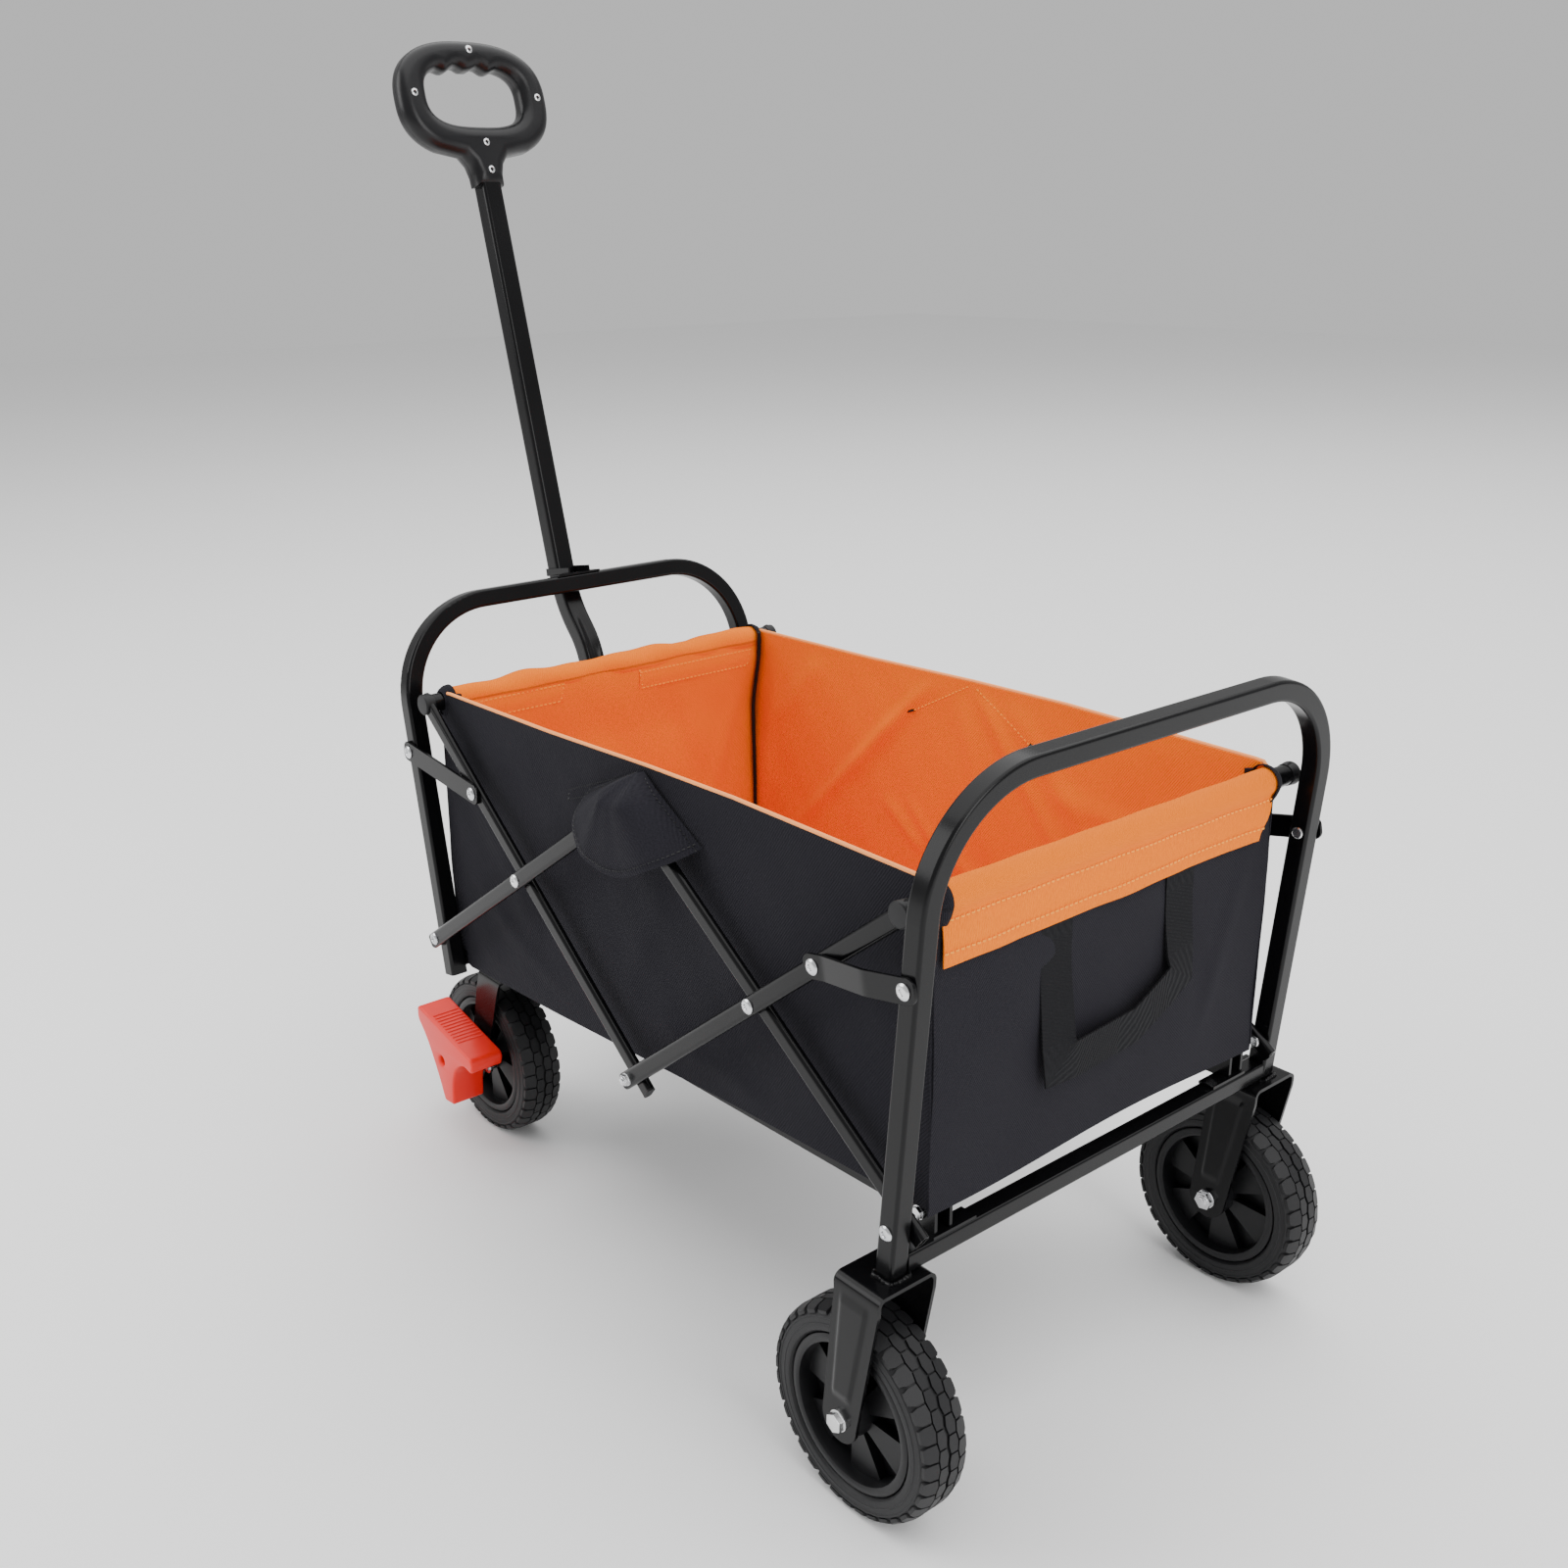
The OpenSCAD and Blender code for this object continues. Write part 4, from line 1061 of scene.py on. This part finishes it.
def ridge(x, z, start, end, width, height):
    """Soft fold that runs from start to end and fades out at both."""
    ax, az = start
    bx, bz = end
    run = hypot(bx - ax, bz - az)
    along = ((x - ax) * (bx - ax) + (z - az) * (bz - az)) / run
    across = ((x - ax) * (bz - az) - (z - az) * (bx - ax)) / run
    fade = smoothstep(-0.15 * run, 0.2 * run, along) * (1 - smoothstep(0.75 * run, 1.1 * run, along))
    return height * exp(-((across / width) ** 2)) * fade


# Folds of the side lining, the side's outer cloth and the end walls: start, end, width and height
SIDE_FOLDS = [
    ((-55, 515), (-272, 298), 7, 4.4), ((-100, 470), (-180, 380), 10, 3.2), ((5, 524), (150, 350), 9, 4.2),
    ((60, 510), (230, 330), 12, 3.4), ((-10, 500), (40, 330), 14, 3.4), ((-118, 372), (-60, 330), 7, 3.6),
    ((-84, 380), (-10, 312), 6, 3.0), ((-40, 350), (60, 290), 8, 3.2), ((-300, 480), (-330, 300), 12, 2.4),
    ((300, 470), (320, 300), 14, 2.6), ((110, 440), (250, 420), 12, 2.8), ((-230, 500), (-300, 420), 12, 2.4)]
OUTER_FOLDS = [
    ((-320, 470), (-180, 300), 22, 2.4), ((-60, 430), (-200, 280), 24, -2.6),
    ((60, 440), (240, 290), 22, 2.6), ((300, 460), (150, 320), 24, -2.2), ((-20, 300), (180, 260), 14, 2.0),
    ((-300, 330), (-150, 260), 12, 2.2), ((20, 420), (-40, 300), 16, 1.8)]
END_FOLDS = [
    ((-150, 470), (-60, 350), 16, 2.0), ((60, 480), (130, 330), 14, -2.2), ((-20, 430), (20, 300), 20, 1.8),
    ((170, 450), (120, 300), 10, 2.0)]


def cloth_waves(x, z, seed):
    """Slow unevenness of sewn cloth."""
    return (
        0.9 * sin(x / 47 + seed) * sin(z / 39 + 2 * seed)
        + 0.6 * sin(x / 23 - z / 31 + 3 * seed)
        + 0.3 * sin(x / 11 + z / 13 + seed))


def soft_piece(shape, name, slot, thickness=CLOTH, body="bag", replaces=(), look=None, squash=True):
    """Finishes a sheet: gives it thickness and, when squash is on, a mesh of its own."""
    if thickness:
        bmesh.ops.recalc_face_normals(shape.mesh, faces=shape.mesh.faces)
        bmesh.ops.solidify(shape.mesh, geom=shape.mesh.faces[:], thickness=thickness)
    piece = shape.to_object(name, slot, body, replaces, sharp=60, look=look)
    if squash:
        bunch(piece)
    return piece


def bunch(piece):
    place(TOP[0], 0, TOP[1])
    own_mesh(piece)


def wall_lift(x, z, low, high, seed, folds):
    """How far a side wall stands off its flat plane: nothing at its sewn edges."""
    edge = smoothstep(0, 30, z - low) * smoothstep(0, 26, high - z)
    lift = cloth_waves(x, z, seed) + sum(ridge(x, z, *fold) for fold in folds)
    return max(lift, -1.4) * edge


def lining_low(x):
    return floor_line(x) + 18


def lining_high(x):
    return rim_height(x) - 0.5


def on_lining(sign, x, z, off):
    """Point on the inside face of a side lining, and off from it into the basket."""
    lift = wall_lift(x, z, lining_low(x), lining_high(x), WALL_SEEDS[sign] + 1, SIDE_FOLDS)
    return (x, sign * (SIDE_IN - 1.6 - lift - off), z)


def side_sheet(sign, base, folds, amount, seed, low, high, columns=140, rows=56):
    shape = Shape()
    reach = END_OUT + 0.9 if amount > 0 else END_IN - 0.5

    def point(u, v):
        x = lerp(-reach, reach, v)
        z = lerp(low(x), high(x), u)
        return (x, sign * (base + amount * wall_lift(x, z, low(x), high(x), seed, folds)), z)

    shape.grid(point, rows, columns, uv=lambda u, v: (v * 2 * END_OUT * MM, u * 0.28))
    return shape


def hem_swing(z):
    """How far the end linings lean in near the top, where they hang from the roll's inner side."""
    return 10.5 * smoothstep(REAR_ROD[1] - 85, REAR_ROD[1] - 6, z)


def end_sheet(x0, seed, low, high, half, amount=1.0, swings=False, columns=70, rows=40):
    shape = Shape()
    inwards = -1 if x0 > 0 else 1

    def point(u, v):
        y = lerp(-half, half, v)
        z = lerp(low(y), high(y), u)
        edge = smoothstep(0, 24, z - low(y)) * smoothstep(0, 20, high(y) - z)
        slack = sum(ridge(y, z, *fold) for fold in END_FOLDS)
        swing = inwards * hem_swing(z) if swings else 0
        return (x0 + swing + amount * edge * (cloth_waves(y, z, seed) + slack), y, z)

    shape.grid(point, rows, columns, uv=lambda u, v: (v * 2 * half * MM, u * 0.26))
    return shape


def first_side(sign, *nodes):
    """Names of the solids that the right-hand or rear piece stands in for; its twin names none."""
    return list(nodes) if sign > 0 else ()


def stitch_row(shape, path, out, length=3.6, gap=1.8, width=0.75):
    """Short raised stitches along a path of points; out is the direction away from the cloth."""
    out = Vector(out)
    spots = [Vector(p) for p in path]
    carried = 0.0
    for a, b in zip(spots, spots[1:]):
        run = (b - a).length
        if run < 1e-6:
            continue
        ahead = (b - a) / run
        side = ahead.cross(out).normalized() * width
        at = carried
        while at < run:
            start = a + ahead * at
            end = a + ahead * (at + length)
            middle = (start + end) / 2 + out * 0.9
            points = [start - side, start + side, end + side, end - side]
            points += [middle - side * 0.8, middle + side * 0.8]
            shape.add_faces(points, [(0, 1, 5, 4), (2, 3, 4, 5), (0, 4, 3), (1, 2, 5), (0, 3, 2, 1)])
            at += length + gap
        carried = at - run


def make_side_walls():
    for side, sign in SIDES.items():
        seed = WALL_SEEDS[sign]

        outer = side_sheet(sign, SIDE_OUT, OUTER_FOLDS, 1.0, seed, skirt_z, rim_height)
        outer = soft_piece(
            outer, f"side_outer_{side}", "black_fabric", replaces=first_side(sign, "bag_sides"))

        lining = side_sheet(sign, SIDE_IN - 1.6, SIDE_FOLDS, -1.0, seed + 1, lining_low, lining_high)
        lining = soft_piece(lining, f"side_lining_{side}", "orange_fabric")

        edge = Shape()
        path = [Vector((x, sign * (SIDE_IN + 0.6), rim_height(x))) for x in range(-344, 345, 8)]
        frames = [(Vector((0, 1, 0)), Vector((0, 0, 1)))] * len(path)
        edge.sweep(arc((0, 0), 1.9, 0, 315, 7), path, frames)
        # The bead is lining cloth given a lighter orange: painted highlight along the walls' lit top edge.
        edge = edge.to_object(f"side_edge_{side}", "orange_fabric", "bag", look="cloth_edge_highlight")
        bunch(edge)


def make_end_walls():
    for name, sign, seed in (("rear", 1, 0.3), ("front", -1, 2.2)):
        low_z = floor_line(sign * END_OUT) + 8

        def low(y, low_z=low_z, sign=sign):
            return low_z + 3 * sin(y / 60 + sign)

        outer = end_sheet(sign * END_OUT, seed, low, lambda y: REAR_ROD[1] - 8, SIDE_OUT + 0.2, 0.8)
        outer = soft_piece(
            outer, f"end_outer_{name}", "black_fabric", replaces=first_side(sign, "bag_ends"))

        foot = floor_line(sign * END_IN) + 19
        lining = end_sheet(
            sign * (END_IN - 1.6), seed + 1, lambda y, foot=foot: foot, lambda y: REAR_ROD[1] - 2,
            SIDE_IN - 3, 1.1, swings=True)
        lining = soft_piece(lining, f"end_lining_{name}", "orange_fabric")


def make_hems():
    """The cloth tubes that the rods run through."""
    for name, rod, wave in (("rear", REAR_ROD, 0.5), ("front", FRONT_ROD, 2.3)):
        shape = Shape()

        def point(u, v, rod=rod, wave=wave):
            y = lerp(-HEM_HALF - 3, HEM_HALF + 3, u)
            angle = tau * v
            loose = sin(y / 21) + 0.6 * sin(y / 9 + 1) + 0.5 * sin(y / 13 + 2 * angle)
            swell = 10.6 + wave * max(0.5 * loose + 0.5, -0.2)
            high = 1.0 + 0.12 * max(sin(angle), 0)
            return (rod[0] + swell * cos(angle), y, rod[1] + swell * high * sin(angle))

        shape.grid(point, 110, 32, uv=lambda u, v: (u * 0.39, v * 0.068), ring=True)
        roll = soft_piece(
            shape, f"hem_{name}", "orange_fabric", 0.9, f"{name}_lift", [f"{name}_hem"], squash=False)


# The rear band as x, z from its lower edge: flat against the wall below, wrapped over the roll above
BAND_PROFILE = [(END_OUT + 3.4, 462), (END_OUT + 4.0, 480), (END_OUT + 2.6, 496), (END_OUT + 4.6, 501.5)]
BAND_PROFILE += [(REAR_ROD[0] + a, REAR_ROD[1] + b) for a, b in arc((0, 0), 12.9, -22, 100, 14)]
BAND_SEAMS = (0.035, 0.125)
# Strips sewn inside the front wall: from y, to y, height of the seam
FRONT_STRIPS = {"left": (-183, -67, 497), "right": (30, 183, 492)}


def on_band(u, v):
    spot = u * (len(BAND_PROFILE) - 1)
    i = min(int(spot), len(BAND_PROFILE) - 2)
    x, z = (lerp(a, b, spot - i) for a, b in zip(BAND_PROFILE[i], BAND_PROFILE[i + 1]))
    # The far end is drawn in below the roll
    y = lerp(-HEM_HALF - 2, HEM_HALF + 2 - 16 * smoothstep(500, 462, z), v)
    low = smoothstep(504, 484, z)
    slack = 1.6 * sin(y / 31 + 1) * low + 0.5 * sin(y / 11 + z / 9)
    return (x + max(slack, -0.6), y, z + 1.5 * sin(y / 70) * low)


def make_band():
    shape = Shape()
    shape.grid(on_band, 54, 120, uv=lambda u, v: (v * 0.4, u * 0.07))
    band = soft_piece(shape, "rear_band", "orange_fabric")


def make_stitches():
    """Orange seams of the band, of the front strips and of the flaps, seen inside the basket."""
    threads = Shape()
    for level in BAND_SEAMS:
        row = [on_band(level, k / 110) for k in range(111)]
        stitch_row(threads, [(x + 1.0, y, z) for x, y, z in row], (1, 0, 0))
    for low_y, high_y, level in FRONT_STRIPS.values():
        corners = [
            (low_y, level + 8), (high_y, level + 8), (high_y - 4, level - 10), (low_y + 4, level - 10),
            (low_y, level + 8)]
        stitch_row(threads, [(-END_IN + 3.8 + hem_swing(z), y, z) for y, z in corners], (1, 0, 0))
    for sign in SIDES.values():
        for (x0, z0), (x1, z1) in FLAP_SEAMS:
            seam = [on_lining(sign, lerp(x0, x1, k / 16), lerp(z0, z1, k / 16), 1.2) for k in range(17)]
            stitch_row(threads, seam, (0, -sign, 0))
    bunch(threads.to_object("orange_stitches", "orange_fabric", "bag", look="orange_thread"))


def make_bar_tacks():
    """Thick black stitches at the lower ends of the flaps' seams."""
    tacks = Shape()
    for sign in SIDES.values():
        for (_, (x, z)), length, width in zip(FLAP_SEAMS, (11, 5.5), (1.3, 2.6)):
            ends = [(x, z), (x - 5, z - 2)] if x < 0 else [(x - 1, z + 1), (x + 3, z - 3)]
            row = [on_lining(sign, a, b, 1.4) for a, b in ends]
            stitch_row(tacks, row, (0, -sign, 0), length, 20, width)
    bunch(tacks.to_object("bar_tacks", "black_fabric", "bag", look="black_thread"))


def make_strips():
    """Flat strips sewn inside the front wall, under the hem."""
    for name, (low_y, high_y, level) in FRONT_STRIPS.items():
        shape = Shape()

        def point(u, v, low_y=low_y, high_y=high_y, level=level):
            y = lerp(low_y, high_y, v)
            z = level - 11 + 20 * u
            return (-END_IN + 2.6 + hem_swing(z) + 0.8 * sin(pi * u), y, z)

        shape.grid(point, 4, 30, uv=lambda u, v: (v * 0.12, u * 0.02))
        strip = soft_piece(shape, f"front_strip_{name}", "orange_fabric", 0.8)


def make_corner_tape(end, name, side):
    """Black tape down an inside corner; end is 1 at the rear and -1 at the front."""
    sign = SIDES[side]
    path = []
    for k in range(25):
        t = k / 24
        z = lerp(floor_line(end * END_IN) + 19, REAR_ROD[1] + 9, t)
        sway = 0.8 * sin(9 * t + end)
        path.append(Vector((end * (END_IN - 4.6 - hem_swing(z)) + sway, sign * (SIDE_IN - 4.6), z)))
    frame_vectors = (Vector((1, sign * end, 0)).normalized(), Vector((-end, sign, 0)).normalized())
    section = [(6.6 * cos(tau * k / 14), 2.0 * sin(tau * k / 14)) for k in range(14)]
    tape = Shape()
    tape.sweep(section, path, [frame_vectors] * len(path))
    tape = tape.to_object(f"corner_tape_{name}_{side}", "black_fabric", "bag", sharp=60)
    bunch(tape)


def make_hem_cap(end, name, side):
    """Black cuff gathered round the end of a hem."""
    sign = SIDES[side]
    rod = REAR_ROD if end > 0 else FRONT_ROD

    def point(u, v):
        y = sign * (HEM_HALF - 2 + 11 * u)
        angle = tau * v
        swell = stations([(0, 14.9), (0.35, 14.6), (0.75, 12.4), (1, 9.8)], u) + 0.3 * sin(3 * angle + sign)
        drop = 8 * max(-sin(angle), 0) ** 2 * (1 - 0.6 * u)
        lean = 2.0 * max(-sin(angle), 0) * end * (1 - u)
        return (rod[0] + swell * cos(angle) - lean, y, rod[1] + swell * 1.06 * sin(angle) - drop)

    cap = Shape()
    cap.grid(point, 12, 32, ring=True, uv=lambda u, v: (u * 0.02, v * 0.07))
    cap = soft_piece(cap, f"hem_cap_{name}_{side}", "black_fabric", 0.8, f"{name}_lift", squash=False)


def make_bindings():
    for end, name in ((-1, "front"), (1, "rear")):
        for side in SIDES:
            make_corner_tape(end, name, side)
            make_hem_cap(end, name, side)


def make_floor_cloth():
    under = Shape()

    def below(u, v):
        x = lerp(-END_IN + 1, END_IN - 1, v)
        y = lerp(-SIDE_IN + 1, SIDE_IN - 1, u)
        return (x, y, floor_line(x) + 9.6 + 0.25 * sin(x / 30) * sin(y / 25))

    under.grid(below, 40, 60, uv=lambda u, v: (v * 0.69, u * 0.4))
    under = soft_piece(under, "floor_outer", "black_fabric", replaces=["bag_floor"])

    over = Shape()

    def above(u, v):
        x = lerp(-END_IN + 4, END_IN - 4, v)
        y = lerp(-SIDE_IN + 4, SIDE_IN - 4, u)
        dip = 3.0 * exp(-((x / 14) ** 2))
        return (x, y, floor_line(x) + 21.0 - dip + 0.5 * sin(x / 33) * sin(y / 27))

    over.grid(above, 40, 90, uv=lambda u, v: (v * 0.69, u * 0.39))
    over = soft_piece(over, "floor_lining", "orange_fabric")


# Free edge of the flap from its front corner to its rear corner: x, z and distance off the wall
FLAP_RIM = [
    (-80, 486, 1), (-68, 469, 27), (-52, 452, 36), (-30, 441, 38), (0, 437, 39), (28, 444, 38), (54, 457, 34),
    (74, 468, 22), (85, 477, 2)]


def flap_point(sign, u, v):
    """Cone of cloth sewn along two slanting sides, standing off the wall over the top pivot."""
    spot = v * (len(FLAP_RIM) - 1)
    i = min(int(spot), len(FLAP_RIM) - 2)
    before, low, high, after = (FLAP_RIM[min(max(i + k, 0), len(FLAP_RIM) - 1)] for k in (-1, 0, 1, 2))
    t = spot - i
    rim = [
        0.5 * (2 * b + (c - a) * t + (2 * a - 5 * b + 4 * c - d) * t * t + (3 * b - a - 3 * c + d) * t ** 3)
        for a, b, c, d in zip(before, low, high, after)]
    x = lerp(FLAP_APEX[0], rim[0], u)
    z = lerp(FLAP_APEX[1], rim[1], u)
    crease = 2.2 * exp(-(((v - 0.34) / 0.06) ** 2)) - 1.6 * exp(-(((v - 0.55) / 0.08) ** 2))
    out = rim[2] * smoothstep(-0.08, 0.33, u) + crease * smoothstep(0, 0.4, u)
    return Vector((x, sign * (SIDE_OUT + 1.6 + out), z))


def make_flaps():
    for side, sign in SIDES.items():
        shape = Shape()
        shape.grid(lambda u, v, sign=sign: flap_point(sign, 0.02 + 0.98 * u, v), 34, 72,
                   uv=lambda u, v: (0.1 + u * 0.085 * sin(2 * (v - 0.5)), u * 0.085 * cos(2 * (v - 0.5))))
        flap = soft_piece(
            shape, f"flap_{side}", "black_fabric", 1.2, replaces=first_side(sign, "bag_flaps"))
        lift = Vector((0, sign * 1.3, 0))
        y = sign * (SIDE_OUT + 2.6)
        rows = [[flap_point(sign, 0.93, k / 60) + lift for k in range(61)]]
        rows += [[flap_point(sign, 0.1 + 0.88 * k / 20, v) + lift for k in range(21)] for v in (0.03, 0.97)]
        rows += [[(-30, y, 509), (-112, y, 477), (-114, y, 467), (-84, y, 478)]]
        threads = Shape()
        for row in rows:
            stitch_row(threads, row, (0, sign, 0), 2.8, 1.8, 0.5)
        bunch(threads.to_object(f"flap_stitches_{side}", "black_fabric", "bag", look="black_thread"))


def mitred_strip(corners, half, step):
    """Centre points and the two half-width vectors of a flat strip that turns sharply at its corners."""
    spots = [Vector(corner) for corner in corners]
    rows = []
    for i in range(len(spots) - 1):
        ahead = (spots[i + 1] - spots[i]).normalized()
        side = Vector((-ahead.y, ahead.x))
        before = (spots[i] - spots[i - 1]).normalized() if i else ahead
        bisector = (side + Vector((-before.y, before.x))).normalized()
        inside = half / max(bisector.dot(side), 0.6)
        outside = min(inside, 1.08 * half)
        turns_left = before.x * ahead.y - before.y * ahead.x > 0
        left, right = (inside, outside) if turns_left else (outside, inside)
        rows.append((spots[i], bisector * left, -bisector * right))
        run = (spots[i + 1] - spots[i]).length
        inset = half + 4
        count = max(1, int((run - 2 * inset) / step))
        for k in range(count + 1):
            rows.append((spots[i] + ahead * lerp(inset, run - inset, k / count), side * half, -side * half))
    rows.append((spots[-1], side * half, -side * half))
    return rows


def make_strap():
    """Carry loop of webbing on the rear wall: two sewn runs and a loose slanting bottom."""
    corners = [(-71, 469), (-71, 340), (22, 346), (82, 372), (78, 469)]
    rows = mitred_strip(corners, 17.5, 6)
    last = len(rows) - 1

    def point(u, v):
        centre, left, right = rows[round(u * last)]
        spot = centre + right.lerp(left, v)
        hang = smoothstep(440, 330, centre.y)
        return (END_OUT + 0.9 + 9.5 * hang + 4 * (v - 0.5) * hang, spot.x, spot.y)

    shape = Shape()
    shape.grid(point, last, 12, uv=lambda u, v: (u * 0.42, v * 0.035))
    strap = soft_piece(shape, "carry_strap_web", "webbing", 1.6, replaces=["carry_strap"])


# ---------------------------------------------------------------- run everything

def dress_cad_nodes():
    """Puts the finished materials on the pieces that are kept from the solid model."""
    slots = {entry["node"]: entry["material_slot"] for entry in frame["record"]["subparts"]}
    for node, piece in frame["nodes"].items():
        for entry in piece.material_slots:
            entry.material = LOOKS[slots[node]]


make_camera()
make_floor()
make_lights()
dress_cad_nodes()
make_wheels()
make_rear_forks()
make_caster_forks()
make_scissor_pins()
make_frame_pins()
make_links()
make_rod_plugs()
make_caster_axles()
make_pedals()
make_pole()
make_grip()
make_side_walls()
make_end_walls()
make_hems()
make_band()
make_stitches()
make_bar_tacks()
make_strips()
make_bindings()
make_floor_cloth()
make_flaps()
make_strap()
